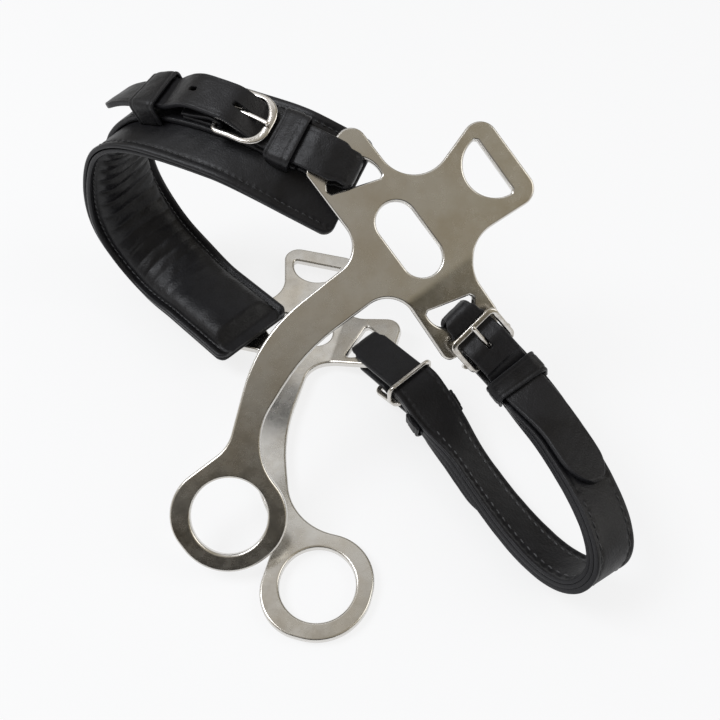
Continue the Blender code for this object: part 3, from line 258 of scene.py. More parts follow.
def skin(name: str, rows: Array, along: Array, around: Array, material: bpy.types.Material,
         marks: dict[str, Array] | None = None, ring: bool = False) -> bpy.types.Object:
    """Skin rows of points into one closed solid.

    Args:
        name: The piece's name.
        rows: Points as rows along the piece by points around it by three.
        along: The distance along the piece of each row, with one more for a ring.
        around: The distance around the section of each point, with one more for the first again.
        material: The finish.
        marks: Values of each point for the finish, by name.
        ring: True when the last row joins the first.

    Returns:
        The new object.
    """
    count, sides = rows.shape[:2]
    points = rows.reshape(-1, 3)
    last = count if ring else count - 1
    i, j = np.meshgrid(np.arange(last), np.arange(sides), indexing="ij")
    next_i, next_j = (i + 1) % count, (j + 1) % sides
    quads = np.stack([i * sides + j, i * sides + next_j, next_i * sides + next_j, next_i * sides + j],
                     axis=-1).reshape(-1, 4)
    corners_u = np.stack([along[i], along[i], along[i + 1], along[i + 1]], axis=-1).reshape(-1, 4)
    corners_v = np.stack([around[j], around[j + 1], around[j + 1], around[j]], axis=-1).reshape(-1, 4)
    flipped = enclosed_volume(points, quads) < 0
    if flipped:
        quads, corners_u, corners_v = quads[:, ::-1], corners_u[:, ::-1], corners_v[:, ::-1]
    faces = quads.tolist()
    caps = []
    if not ring:
        first = list(range(sides))
        end = [(count - 1) * sides + k for k in range(sides)]
        caps = [first[::-1], end] if not flipped else [first, end[::-1]]
        faces += caps
    made = add_mesh(name, points, faces, material)
    mesh = made.data
    layer = mesh.uv_layers.new(name="strap")
    coordinates = np.stack([corners_u, corners_v], axis=-1).reshape(-1, 2)
    extra = np.zeros((sum(len(cap) for cap in caps), 2))
    layer.data.foreach_set("uv", np.vstack([coordinates, extra]).ravel())
    for word, values in (marks or {}).items():
        attribute = mesh.attributes.new(word, "FLOAT", "POINT")
        spread = np.broadcast_to(values, (count, sides)).astype(np.float32)
        attribute.data.foreach_set("value", spread.ravel())
    fix_caps(mesh, len(caps))
    return made


def fix_caps(mesh: bpy.types.Mesh, count: int) -> None:
    """Shade the last faces flat, so that end caps don't bend the light on the sides."""
    for face in list(mesh.polygons)[len(mesh.polygons) - count:]:
        face.use_smooth = False


def apply_modifiers(item: bpy.types.Object) -> None:
    """Give an object the mesh that its modifiers make.

    Args:
        item: The object.
    """
    graph = bpy.context.evaluated_depsgraph_get()
    item.data = bpy.data.meshes.new_from_object(item.evaluated_get(graph), depsgraph=graph)
    item.modifiers.clear()


def cut(item: bpy.types.Object, cutters: Sequence[bpy.types.Object]) -> None:
    """Cut openings out of a piece and remove the cutters.

    Args:
        item: The piece.
        cutters: Closed forms of the openings.
    """
    for cutter in cutters:
        modifier = item.modifiers.new("opening", "BOOLEAN")
        modifier.operation = "DIFFERENCE"
        modifier.solver = "EXACT"
        modifier.object = cutter
    apply_modifiers(item)
    for cutter in cutters:
        bpy.data.objects.remove(cutter, do_unlink=True)


# Cheek plates


@dataclass(frozen=True)
class CheekShape:
    """The outline of a cheek, in its own plane, measured from the middle of the oval slot."""

    thickness: float = 4.0 * MM
    rim: float = 1.15 * MM
    rim_steps: int = 6
    ring_outer: float = 24.0 * MM
    ring_hole: float = 16.5 * MM
    ring_right: float = 48.8 * MM
    ring_drop: float = 133.2 * MM
    head_height: float = 58.5 * MM
    head_width: float = 45.5 * MM
    head_shift: float = -4.2 * MM
    arm_top: float = 12.2 * MM
    arm_bottom: float = 17.8 * MM
    nose_reach: float = 56.0 * MM
    nose_slant: float = 6.0 * MM
    curb_reach: float = 55.5 * MM
    curb_bend: float = math.radians(14.0)
    bend_start: float = 20.0 * MM
    bend_radius: float = 12.0 * MM
    shank_right: float = 12.1 * MM
    shank_left: float = -6.6 * MM
    shank_turn: float = 65.3 * MM
    shank_left_turn: float = 77.3 * MM
    oval_length: float = 36.3 * MM
    oval_width: float = 17.6 * MM
    head_slot: float = 14.0 * MM
    head_rim: float = 9.4 * MM
    nose_slot: float = 12.2 * MM
    nose_slot_at: tuple[float, float] = (-31.9 * MM, -4.9 * MM)
    nose_tilt: float = math.radians(161.6)
    curb_slot: float = 11.0 * MM
    curb_slot_at: tuple[float, float] = (32.4 * MM, -2.2 * MM)
    curb_tilt: float = math.radians(-16.1)

    def outline(self) -> Array:
        """Return the plate's outer outline.

        Returns:
            The outline's corners, in rows.
        """
        ring_right = self.ring_right + self.ring_outer
        ring_left = self.ring_right - self.ring_outer
        ring_top = self.ring_outer - self.ring_drop
        head_left = self.head_shift - self.head_width / 2
        head_right = self.head_shift + self.head_width / 2
        corners = [
            (head_left, self.head_height, 8 * MM),
            (head_left + 14.6 * MM, self.arm_top - 0.2 * MM, 19 * MM),
            (-self.nose_reach, self.arm_top - 1 * MM, 7 * MM),
            (self.nose_slant - self.nose_reach, -self.arm_bottom - 1.5 * MM, 3.5 * MM),
            (self.shank_left - 0.8 * MM, -self.arm_bottom - 1.1 * MM, 13 * MM),
            (self.shank_left + 0.9 * MM, -self.shank_left_turn, 72 * MM),
            (ring_left, self.ring_outer * 0.72 - self.ring_drop, 17 * MM),
            (ring_left, -self.ring_drop - self.ring_outer, self.ring_outer),
            (ring_right, -self.ring_drop - self.ring_outer, self.ring_outer),
            (ring_right, ring_top, self.ring_outer),
            (ring_left + 4.8 * MM, ring_top, 28 * MM),
            (self.shank_right, -self.shank_turn, 90 * MM),
            (self.shank_right + 0.2 * MM, 0.6 * MM - self.arm_bottom, 13 * MM),
            (self.curb_reach - 1 * MM, -self.arm_bottom, 4.5 * MM),
            (self.curb_reach, self.arm_top + 2.2 * MM, 9 * MM),
            (head_right - 3.2 * MM, self.arm_top + 1.4 * MM, 17 * MM),
            (head_right, self.head_height, 8 * MM),
        ]
        return rounded_outline(corners)

    @staticmethod
    def half_disc(middle: tuple[float, float], outward: float, radius: float, corner: float) -> Array:
        """Return a D-shaped slot that bulges outward from its straight edge.

        Args:
            middle: Middle of the straight edge.
            outward: Angle of the bulge.
            radius: Radius of the D.
            corner: How far the corners are pulled in from a sharp D.

        Returns:
            The slot's points.
        """
        axis = np.array((math.cos(outward), math.sin(outward)))
        along = np.array((-axis[1], axis[0]))
        lift = corner / radius
        turns = np.linspace(-math.pi / 2 + lift, math.pi / 2 - lift, 41)[:, None]
        centre = np.array(middle)
        arc = centre + axis * radius * np.cos(turns) + along * radius * np.sin(turns)
        ends = [centre + along * (radius - corner), centre - along * (radius - corner)]
        return np.vstack([arc, ends])

    def holes(self) -> dict[Hole, Array]:
        """Return the outlines of all the openings.

        Returns:
            Each opening's outline.
        """
        half, side = self.oval_length / 2, self.oval_width / 2
        ends = ((half, side), (-half, side), (-half, -side), (half, -side))
        turns = np.linspace(0, 2 * math.pi, 96, endpoint=False)
        ring = np.column_stack([self.ring_right + self.ring_hole * np.cos(turns),
                                -self.ring_drop + self.ring_hole * np.sin(turns)])
        head_edge = (self.head_shift + 0.6 * MM, self.head_height - self.head_rim)
        corner = 1.2 * MM
        return {
            Hole.OVAL: rounded_outline([(x, y, side) for x, y in ends]),
            Hole.RING: ring,
            Hole.HEAD: self.half_disc(head_edge, math.radians(-90.6), self.head_slot, corner),
            Hole.NOSE: self.half_disc(self.nose_slot_at, self.nose_tilt, self.nose_slot, corner),
            Hole.CURB: self.half_disc(self.curb_slot_at, self.curb_tilt, self.curb_slot, corner),
        }

    def bend(self, points: Array, outward: float) -> Array:
        """Bend plate points: past the bend line the curb arm leans to the inside.

        Args:
            points: Plate points, in rows.
            outward: 1 or -1, the way the plate's outer face looks.

        Returns:
            The bent points.
        """
        bent = points.copy()
        over = points[:, 0] - self.bend_start
        moved = (over > 0) & (points[:, 1] >= -self.arm_bottom - 2 * MM)
        turned = np.minimum(over / self.bend_radius, self.curb_bend)
        rest = over - turned * self.bend_radius
        x = self.bend_start + self.bend_radius * np.sin(turned) + rest * np.cos(turned)
        drop = self.bend_radius * (1 - np.cos(turned)) + rest * np.sin(turned)
        bent[moved, 0] = (x + np.sin(turned) * points[:, 2] * outward)[moved]
        bent[moved, 2] = (points[:, 2] * np.cos(turned) - outward * drop)[moved]
        return bent


def inset_outline(points: Array, distance: float) -> Array:
    """Return a closed outline moved by distance to its left when it runs counterclockwise.

    Args:
        points: The outline's corners, in rows.
        distance: How far it moves.

    Returns:
        The moved outline.
    """
    before = unit(points - np.roll(points, 1, axis=0))
    after = unit(np.roll(points, -1, axis=0) - points)
    area = np.sum(np.roll(points[:, 0], 1) * points[:, 1] - points[:, 0] * np.roll(points[:, 1], 1))
    side = 1.0 if area > 0 else -1.0
    normal = unit(np.column_stack([-before[:, 1] - after[:, 1], before[:, 0] + after[:, 0]])) * side
    left = np.column_stack([-before[:, 1], before[:, 0]]) * side
    cosine = np.maximum(0.5, np.einsum("ij,ij->i", normal, left))
    return points + normal * (distance / cosine)[:, None]


@dataclass
class Cheek:
    """One cheek plate, where it lies, and its finely rounded rim."""

    side: Side
    at: tuple[float, float, float]
    turn: tuple[float, float, float]
    outward: float
    shape: CheekShape = field(default_factory=CheekShape)

    def pose(self) -> Array:
        """Return the plate's matrix before the whole is laid down."""
        angles = [math.radians(a) for a in self.turn]
        return np.array(Matrix.Translation(Vector(self.at) * MM) @ Euler(angles, "XYZ").to_matrix().to_4x4())

    def world(self, points: Array, bent: bool = True) -> Array:
        """Return plate points where they are before the whole is laid down.

        Args:
            points: Plate points, in rows.
            bent: Whether the curb arm's bend is put in.

        Returns:
            The places.
        """
        flat = self.shape.bend(points, self.outward) if bent else points
        pose = self.pose()
        return flat @ pose[:3, :3].T + pose[:3, 3]

    def rim_levels(self) -> list[tuple[float, float]]:
        """Return the height and inset of each step round the rim, from the top face down.

        Returns:
            Height and inset of each step.
        """
        half = self.shape.thickness / 2
        rim = self.shape.rim
        turns = np.linspace(0, math.pi / 2, self.shape.rim_steps + 1)
        upper = [(half - rim + rim * math.cos(t), rim - rim * math.sin(t)) for t in turns]
        return upper + [(-z, inset) for z, inset in reversed(upper)]

    def build(self, place: "Placing", material: bpy.types.Material) -> bpy.types.Object:
        """Build the plate.

        Args:
            place: Lays points down as the object lies.
            material: The steel.

        Returns:
            The plate, which replaces the plain one.
        """
        loops = [(self.shape.outline(), 1.0)] + [(hole, -1.0) for hole in self.shape.holes().values()]
        levels = self.rim_levels()
        bm = bmesh.new()
        rims = []
        # The edge mark, one at the rim, drives the steel's painted rim highlight.
        edge_layer = bm.verts.layers.float.new("edge")
        for z, inset in levels:
            rings = []
            for points, kind in loops:
                shifted = inset_outline(points, inset * kind)
                verts = [bm.verts.new((x, y, z)) for x, y in shifted]
                for vert in verts:
                    vert[edge_layer] = 1.0 - inset / self.shape.rim
                rings.append(verts)
            rims.append(rings)
        for upper, lower in zip(rims, rims[1:]):
            for first, second in zip(upper, lower):
                for k in range(len(first)):
                    bm.faces.new((first[k - 1], first[k], second[k], second[k - 1]))
        for rings in (rims[0], rims[-1]):
            edges = [bm.edges.get((ring[k - 1], ring[k])) for ring in rings for k in range(len(ring))]
            bmesh.ops.triangle_fill(bm, edges=edges, use_beauty=True)
        self.crease(bm)
        bmesh.ops.recalc_face_normals(bm, faces=bm.faces)
        mesh = bpy.data.meshes.new(self.side.value + "_cheek_plate")
        bm.to_mesh(mesh)
        bm.free()
        points = np.zeros(len(mesh.vertices) * 3)
        mesh.vertices.foreach_get("co", points)
        moved = place.world(self.world(points.reshape(-1, 3)))
        mesh.vertices.foreach_set("co", moved.ravel())
        mesh.materials.append(material)
        mesh.shade_smooth()
        made = bpy.data.objects.new(self.side.value + "_cheek_plate", mesh)
        bpy.context.scene.collection.objects.link(made)
        weighted = made.modifiers.new("flat faces stay flat", "WEIGHTED_NORMAL")
        weighted.mode = "FACE_AREA"
        weighted.weight = 100
        return made

    def crease(self, bm: bmesh.types.BMesh) -> None:
        """Cut the curb arm's faces into strips where it bends.

        Args:
            bm: The plate's mesh.
        """
        low = -self.shape.arm_bottom - 2 * MM
        for k in range(6):
            line = self.shape.bend_start + self.shape.bend_radius * self.shape.curb_bend * k / 5
            faces = [f for f in bm.faces if f.calc_center_median().y > low]
            edges = list({edge for face in faces for edge in face.edges})
            verts = list({vert for face in faces for vert in face.verts})
            geometry = faces + edges + verts
            bmesh.ops.bisect_plane(bm, geom=geometry, plane_co=(line, 0, 0), plane_no=(1, 0, 0))


CHEEKS = {
    Side.NEAR: Cheek(Side.NEAR, (19.05, 254.41, 97.10), (26.87, 31.84, -42.15), 1.0),
    Side.FAR: Cheek(Side.FAR, (-33.22, 278.41, 8.15), (2.82, -0.46, -12.52), -1.0),
}


# Straps' routes


@dataclass(frozen=True)
class Arm:
    """How a band leaves a cheek: its angle in the plate and its way to the bend."""

    angle: float
    depth: float
    lateral: float
    over: float
    run: float
    roll: float
    handle: float
    apex_handle: float
    flat: float
    strap_shift: float = 0.0


@dataclass(frozen=True)
class ArmFrame:
    """Where and which way a band leaves a cheek."""

    start: Array
    along: Array
    width: Array
    rolled: Array
    out: Array
    bar: Array


@dataclass(frozen=True)
class Apex:
    """The middle of a band's bend, with its direction and its width direction."""

    at: tuple[float, float, float]
    tangent: tuple[float, float, float]
    width: tuple[float, float, float]


def arm_frame(cheek: Cheek, arm: Arm, hole: Hole, height: float, shift: float) -> ArmFrame:
    """Return where a band leaves a cheek.

    Args:
        cheek: The cheek.
        arm: The band's way past it.
        hole: The slot that the band's end goes through.
        height: Height of the band's middle above the plate's middle, outward.
        shift: How far the band lies to the side of its end.

    Returns:
        The start and the directions of the band.
    """
    shape = cheek.shape
    bent = hole is Hole.CURB
    middle, tilt = (shape.curb_slot_at, shape.curb_tilt) if bent else (shape.nose_slot_at, shape.nose_tilt)
    axis = np.array((math.cos(tilt), math.sin(tilt)))
    along_edge = np.array((-axis[1], axis[0]))
    slot = np.array(middle) + axis * arm.depth + along_edge * arm.lateral
    ahead = slot + np.array((math.cos(arm.angle), math.sin(arm.angle))) * MM
    spots = cheek.world(np.array([(*slot, 0.0), (*ahead, 0.0), (*slot, cheek.outward * MM)]), bent)
    along = unit(spots[1] - spots[0])
    out = unit(spots[2] - spots[0])
    width = np.cross(along, out) * (1.0 if cheek.side is Side.NEAR else -1.0) * (-1.0 if bent else 1.0)
    rolled = width * math.cos(arm.roll) - out * math.sin(arm.roll)
    return ArmFrame(spots[0] + out * height - width * shift, along, width, rolled, out, spots[0])


class Route:
    """A band's middle line from the near cheek to the far one, with its width direction."""

    leg_steps = 300
    spare = 6.0 * MM
    roll_run = 40.0 * MM

    def __init__(self, frames: dict[Side, ArmFrame], arms: dict[Side, Arm], apex: Apex) -> None:
        """Lay out the line.

        Args:
            frames: The band's start and directions at each cheek.
            arms: The runs and handles at each cheek.
            apex: The middle of the bend.
        """
        near, far = frames[Side.NEAR], frames[Side.FAR]
        near_arm, far_arm = arms[Side.NEAR], arms[Side.FAR]
        t = np.linspace(0, 1, self.leg_steps, endpoint=False)[:, None]
        centre = np.array(apex.at) * MM
        tangent = unit(np.array(apex.tangent))
        near_bend = near.start + near.along * near_arm.run
        far_bend = far.start + far.along * far_arm.run
        first = near.start - near.along * (near_arm.over + self.spare)
        last = far.start - far.along * (far_arm.over + self.spare)
        points = np.vstack([
            first + (near_bend - first) * t,
            bezier(near_bend, near_bend + near.along * near_arm.handle,
                   centre - tangent * near_arm.apex_handle, centre, t),
            bezier(centre, centre + tangent * far_arm.apex_handle,
                   far_bend + far.along * far_arm.handle, far_bend, t),
            far_bend + (last - far_bend) * t,
            last[None],
        ])
        steps = np.linalg.norm(np.diff(points, axis=0), axis=1)
        self.stations = np.concatenate([[0.0], np.cumsum(steps)]) - near_arm.over - self.spare
        self.start = -near_arm.over
        self.length = float(self.stations[-1]) - far_arm.over - self.spare
        self.end = self.length + far_arm.over
        tangents = unit(np.gradient(points, self.stations, axis=0))
        keys = (
            (near_arm.flat, near.width),
            (near_arm.flat + self.roll_run, near.rolled),
            (float(self.stations[2 * self.leg_steps]), unit(np.array(apex.width))),
            (self.length - far_arm.flat - self.roll_run, far.rolled),
            (self.length - far_arm.flat, far.width),
        )
        widths = np.tile(keys[0][1], (len(points), 1))
        for (low, before), (high, after) in zip(keys, keys[1:]):
            share = smooth_step((self.stations - low) / (high - low))[:, None]
            widths = np.where(self.stations[:, None] >= low, before + (after - before) * share, widths)
        widths = unit(widths - tangents * np.einsum("ij,ij->i", widths, tangents)[:, None])
        outs = np.cross(tangents, widths)
        if np.dot(np.array([np.interp(0.0, self.stations, outs[:, k]) for k in range(3)]), near.out) < 0:
            outs = -outs
        self.table = np.hstack([points, tangents, widths, outs])

    def at(self, stations: Array) -> tuple[Array, Array, Array, Array]:
        """Return the middle point, direction, width direction and outward direction at stations."""
        found = np.stack([np.interp(stations, self.stations, self.table[:, k]) for k in range(12)], axis=-1)
        return found[..., 0:3], found[..., 3:6], found[..., 6:9], found[..., 9:12]


class Placing:
    """Lays points down as the object lies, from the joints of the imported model."""

    seat_normal = Vector((0.0342, 0.0320, -0.9989))

    def __init__(self, bar_middle: Array) -> None:
        """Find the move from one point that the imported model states.

        Args:
            bar_middle: The middle between the two noseband bars, before it is laid down.
        """
        turn = self.seat_normal.rotation_difference(Vector((0, 0, -1))).to_matrix()
        self.turn = np.array(turn)
        stated = next(joint["pos_m"] for joint in frame["joints"] if joint["name"] == "noseband_swing")
        self.move = np.array(stated) - self.turn @ bar_middle

    def world(self, points: Array) -> Array:
        """Return points where they lie."""
        return points @ self.turn.T + self.move

    def direction(self, vector: Array) -> Array:
        """Return a direction as it lies."""
        return self.turn @ vector


class End:
    """One end of a route, with stations measured from that end's slot."""

    def __init__(self, route: Route, side: Side, placing: Placing) -> None:
        """Hold the route.

        Args:
            route: The band's route.
            side: The cheek that stations are measured from.
            placing: Lays points down as the object lies.
        """
        self.route = route
        self.far = side is Side.FAR
        self.placing = placing

    def station(self, stations: Array | float) -> Array | float:
        """Return stations as the route counts them."""
        return self.route.length - stations if self.far else stations

    def place(self, stations: Array | float, across: Array | float, height: Array | float) -> Array:
        """Return the points at stations, across the band and above its middle.

        Args:
            stations: Places along the strap.
            across: Places across it.
            height: Heights over its middle.

        Returns:
            The points.
        """
        s, x, h = np.broadcast_arrays(self.station(np.asarray(stations, float)), across, height)
        middle, _, width, out = self.route.at(s)
        return self.placing.world(middle + width * x[..., None] + out * h[..., None])

    def direction(self, station: float, local: tuple[float, float, float]) -> Array:
        """Return a direction given along, across and out at a station.

        Args:
            station: The place along the strap.
            local: Shares along, across and out.

        Returns:
            The direction.
        """
        _, tangent, width, out = self.route.at(np.array(self.station(station)))
        along = -local[0] if self.far else local[0]
        return self.placing.direction(tangent * along + width * local[1] + out * local[2])


# Sections and how they become pieces


@dataclass(frozen=True)
class Section:
    """A strap's cross-section as points round it, lower face first."""

    across: Array
    height: Array
    face: Array
    edge: Array
    around: Array
    width: float
    thickness: float


def strap_section(width: float, thickness: float, corner: float, step: float = 0.9 * MM) -> Section:
    """Return a strap's section with rounded edges.

    Args:
        width: Width of the strap.
        thickness: Thickness of the leather.
        corner: Radius of the edges.
        step: Distance between points across the faces.

    Returns:
        The section, with its middle at height zero.
    """
    half, level = width / 2, thickness / 2
    c = min(corner, 0.96 * level)
    flat = np.linspace(c - half, half - c, max(5, math.ceil(width / step)))
    arc = np.linspace(0, math.pi / 2, 6)[1:-1]
    sin, cos = c * np.sin(arc), c * np.cos(arc)
    across = np.concatenate([flat, half - c + sin, half - c + cos,
                             flat[::-1], c - half - sin, c - half - cos])
    height = np.concatenate([np.full(len(flat), -level), c - level - cos, level - c + sin,
                             np.full(len(flat), level), level - c + cos, c - level - sin])
    closed = np.vstack([np.column_stack([across, height]), [across[0], height[0]]])
    around = np.concatenate([[0.0], np.cumsum(np.linalg.norm(np.diff(closed, axis=0), axis=1))])
    # The edge mark greys the leather's edges, partly as wear and partly as a painted highlight.
    edge = np.exp(-(half - np.abs(across)) / (1.3 * MM))
    return Section(across, height, height / level, edge, around, width, thickness)


def rounded_stations(first: float, last: float, step: float, corner: float) -> tuple[Array, Array]:
    """Return stations from first to last with the ends eased.

    Args:
        first: First station.
        last: Last station.
        step: Distance between stations.
        corner: Radius of the ends.

    Returns:
        The stations, and how much the section is drawn in at each.
    """
    turns = np.linspace(0, math.pi / 2, 5)[:-1]
    ease = corner * (1 - np.sin(turns))
    lead = corner * (1 - np.cos(turns))
    middle = np.linspace(first + corner, last - corner, max(3, math.ceil((last - first) / step)))
    stations = np.concatenate([first + lead, middle, last - lead[::-1]])
    shrink = np.concatenate([ease, np.zeros(len(middle)), ease[::-1]])
    return stations, shrink


def corner_inset(stations: Array, first: float, last: float, radius: float) -> Array:
    """Return how far a band's edges come in at stations, where its corners are rounded in plan."""
    past = np.clip(1 - np.minimum(stations - first, last - stations) / radius, 0, 1)
    return radius * (1 - np.sqrt(1 - past ** 2))


@dataclass(frozen=True)
class Stitching:
    """A row of saddle stitches and the groove that it lies in."""

    inset: float
    pitch: float = 3.4 * MM
    length: float = 2.7 * MM
    radius: float = 0.36 * MM
    groove: float = 0.42 * MM
    spread: float = 0.75 * MM
    slant: float = math.radians(7.0)

    def hollow(self, along: Array, across: Array, half: float) -> Array:
        """Return how deep the leather is drawn in along both rows of a strap.

        Args:
            along: Stations.
            across: Places across the strap.
            half: Half the strap's width.

        Returns:
            The depths, as negative heights.
        """
        near_row = bump(np.abs(across), half - self.inset, self.spread)
        pulled = 0.62 + 0.38 * np.cos(2 * math.pi * along / self.pitch)
        return -self.groove * near_row * pulled


@dataclass(frozen=True)
class StitchedRelief:
    """A stitched leather face: grooves under the stitches, a rolled border and slow unevenness."""

    half: float
    stitching: Stitching
    faces: tuple[int, ...] = (1,)
    border: float = 0.25 * MM
    swell: float = 0.0
    waves: float = 0.12 * MM
    seed: float = 0.0

    def __call__(self, along: Array, across: Array, face: Array) -> Array:
        """Return the added height, outward where face is 1 and inward where it is -1.

        Args:
            along: Stations.
            across: Places across the leather.
            face: 1 on the outer face, -1 on the inner one.

        Returns:
            The added heights.
        """
        shape = np.zeros(np.broadcast(along, across).shape)
        inner = self.half - self.stitching.inset
        raised = self.stitching.hollow(along, across, self.half)
        rolled = self.half - 0.45 * self.stitching.inset
        raised = raised + self.border * bump(np.abs(across), rolled, 1.2 * MM)
        raised = raised + self.swell * np.clip(1 - (across / inner) ** 2, 0, 1)
        raised = raised + self.waves * ripple(along, across, 37 * MM, self.seed)
        for sign in self.faces:
            shape = shape + raised * np.clip(face * sign, 0, 1) * sign
        return shape


@dataclass(frozen=True)
class CreasedRelief:
    """A plain strap's face: a creased line along each edge and slow unevenness."""

    half: float
    inset: float = 1.7 * MM
    depth: float = 0.16 * MM
    waves: float = 0.1 * MM
    folds: tuple[tuple[float, float, float], ...] = ()
    seed: float = 0.0

    def __call__(self, along: Array, across: Array, face: Array) -> Array:
        """Return the added height, outward where face is 1 and inward where it is -1.

        Args:
            along: Stations.
            across: Places across the leather.
            face: 1 on the outer face, -1 on the inner one.

        Returns:
            The added heights.
        """
        line = -self.depth * bump(np.abs(across), self.half - self.inset, 0.35 * MM)
        raised = line + self.waves * ripple(along, across, 23 * MM, self.seed)
        for centre, spread, deep in self.folds:
            wander = 0.5 * np.sin(across / (4.3 * MM) + self.seed)
            wrinkle = np.sin(2 * math.pi * (along / (2.1 * MM) + wander))
            fade = 1 - 0.4 * np.abs(across) / self.half
            raised = raised + deep * wrinkle * bump(along, centre, spread) * fade
        return raised * np.clip(face, 0, 1)


def build_band(name: str, end: End, span: tuple[float, float], section: Section, middle: Profile,
               shift: Profile, relief: Relief, material: bpy.types.Material,
               step: float = 1.0 * MM, corner: float = 1.0 * MM,
               draw_in: Profile | None = None) -> bpy.types.Object:
    """Build a strap that lies along a band.

    Args:
        name: The piece's name.
        end: The band's end that stations are measured from.
        span: First and last station.
        section: The strap's section.
        middle: The height of its middle at stations.
        shift: How far its middle line lies to the side at stations.
        relief: The shape of its faces.
        material: The finish.
        step: Distance between stations.
        corner: Radius of the strap's corners in plan.
        draw_in: How far both its edges come in at stations.

    Returns:
        The strap.
    """
    stations, shrink = rounded_stations(*span, step, 0.45 * section.thickness)
    s = stations[:, None]
    inset = np.maximum(shrink, corner_inset(stations, *span, corner))
    if draw_in:
        inset = inset + draw_in(stations)
    narrow = 1 - inset[:, None] / (section.width / 2)
    thin = 1 - shrink[:, None] / (section.thickness / 2)
    across = section.across * narrow
    height = section.height * thin + relief(s, across, section.face)
    rows = end.place(s, across + shift(stations)[:, None], height + middle(stations)[:, None])
    return skin(name, rows, np.append(stations, stations[-1] + step), section.around, material,
                {"edge": section.edge})


def build_ribbon(name: str, end: End, path: Array, section: Section, width: Callable[[Array], Array],
                 shift: Profile, relief: Relief, material: bpy.types.Material,
                 step: float = 0.8 * MM) -> bpy.types.Object:
    """Build a strap end that follows a line of stations and heights and may fold back.

    Args:
        name: The piece's name.
        end: The band's end that stations are measured from.
        path: The strap's middle line, as stations and heights.
        section: The strap's section at full width.
        width: The strap's width at points of the path.
        shift: How far its middle line lies to the side at stations.
        relief: The shape of its upper face, by distance along the path.
        material: The finish.
        step: Distance between rows.

    Returns:
        The strap end.
    """
    line = resample(path, step)
    normals = left_normals(line)
    marks = np.concatenate([[0.0], np.cumsum(np.linalg.norm(np.diff(line, axis=0), axis=1))])
    from_end = np.minimum(marks, marks[-1] - marks)
    ease = 0.9 * MM
    thin = np.sqrt(np.clip(1 - (1 - np.clip(from_end / ease, 0, 1)) ** 2, 0.12, 1))
    share = (width(line) / section.width)[:, None]
    height = section.height * thin[:, None] + relief(marks[:, None], section.across, section.face)
    across = section.across * share
    stations = line[:, :1] + normals[:, :1] * height
    rows = end.place(stations, across + shift(line[:, 0])[:, None], line[:, 1:] + normals[:, 1:] * height)
    return skin(name, rows, np.append(marks, marks[-1] + step), section.around, material,
                {"edge": section.edge})


@dataclass(frozen=True)
class LoopShape:
    """A strap that goes round other straps: its inner half width, leather and length."""

    inner_half: float
    length: float
    thickness: float = 1.5 * MM
    corner: float = 2.4 * MM
    crease_inset: float = 1.9 * MM
    crease_depth: float = 0.32 * MM
    crown: float = 0.35 * MM

    def section(self) -> tuple[Section, Array]:
        """Return the section across its length, and the relief of its outer face.

        Returns:
            The section and the relief.
        """
        section = strap_section(self.length, self.thickness, 0.6 * MM, 0.55 * MM)
        half = self.length / 2
        line = -self.crease_depth * bump(np.abs(section.across), half - self.crease_inset, 0.42 * MM)
        crown = self.crown * np.clip(1 - (section.across / half) ** 2, 0, 1) ** 0.7
        return section, (line + crown) * np.clip(section.face, 0, 1)


def build_loop(name: str, end: End, centre: float, shape: LoopShape, low: Profile, top: Profile,
               shift: Profile, material: bpy.types.Material, seed: float = 0.0) -> bpy.types.Object:
    """Build a keeper, open below.

    Args:
        name: The piece's name.
        end: The band's end that stations are measured from.
        centre: Station of its middle.
        shape: Its sizes.
        low: Height of its lowest inner line at stations.
        top: Height of its upper inner face at stations.
        shift: How far its middle lies to the side at stations.
        material: The finish.
        seed: Shifts its unevenness.

    Returns:
        The keeper.
    """
    section, outside = shape.section()
    nominal = float((top(np.array([centre])) - low(np.array([centre])))[0])
    x = shape.inner_half + shape.thickness / 2
    over = shape.thickness / 2
    corners = [(x, 0.0, 0.0), (x, nominal + over, shape.corner), (-x, nominal + over, shape.corner),
               (-x, 0.0, 0.0)]
    step = 0.7 * MM
    path = resample(rounded_outline(corners, closed=False), step)
    normals = -left_normals(path)
    share = (path[:, 1] / nominal)[:, None]
    marks = np.arange(len(path) + 1) * step
    uneven = 0.1 * MM * ripple(marks[:-1, None], section.across, 17 * MM, seed)
    uneven = uneven * np.clip(section.face, 0, 1)
    lift = section.height + outside + uneven
    stations = np.broadcast_to(centre + section.across, lift.shape)
    bottom = low(stations.ravel()).reshape(lift.shape)
    upper = top(stations.ravel()).reshape(lift.shape)
    height = bottom + (upper - bottom) * share + normals[:, 1:] * lift
    across = path[:, :1] + normals[:, :1] * lift + shift(stations.ravel()).reshape(lift.shape)
    rows = end.place(stations, across, height)
    return skin(name, rows, marks, section.around, material, {"edge": section.edge})


def build_wire(name: str, points: Array, up: Array, half_width: Array, half_height: Array, square: float,
               material: bpy.types.Material, ring: bool, sides: int = 20) -> bpy.types.Object:
    """Build a metal bar with a rounded section along a line.

    Args:
        name: The piece's name.
        points: The line.
        up: Direction of the section's height.
        half_width: Half the section's width at each point.
        half_height: Half its height at each point.
        square: 1 for a round section, smaller for a squarer one.
        material: The finish.
        ring: True when the last point joins the first.
        sides: Number of points round the section.

    Returns:
        The bar.
    """
    if ring:
        way = unit(np.roll(points, -1, axis=0) - np.roll(points, 1, axis=0))
    else:
        way = unit(np.gradient(points, axis=0))
    side = unit(np.cross(way, up))
    level = np.cross(side, way)
    turns = np.linspace(0, 2 * math.pi, sides, endpoint=False)
    cos = np.sign(np.cos(turns)) * np.abs(np.cos(turns)) ** square
    sin = np.sign(np.sin(turns)) * np.abs(np.sin(turns)) ** square
    rows = (points[:, None] + side[:, None] * (half_width[:, None] * cos)[..., None]
            + level[:, None] * (half_height[:, None] * sin)[..., None])
    count = len(points) + 1
    return skin(name, rows, np.arange(count) * MM, np.arange(sides + 1) * 0.3 * MM, material, ring=ring)


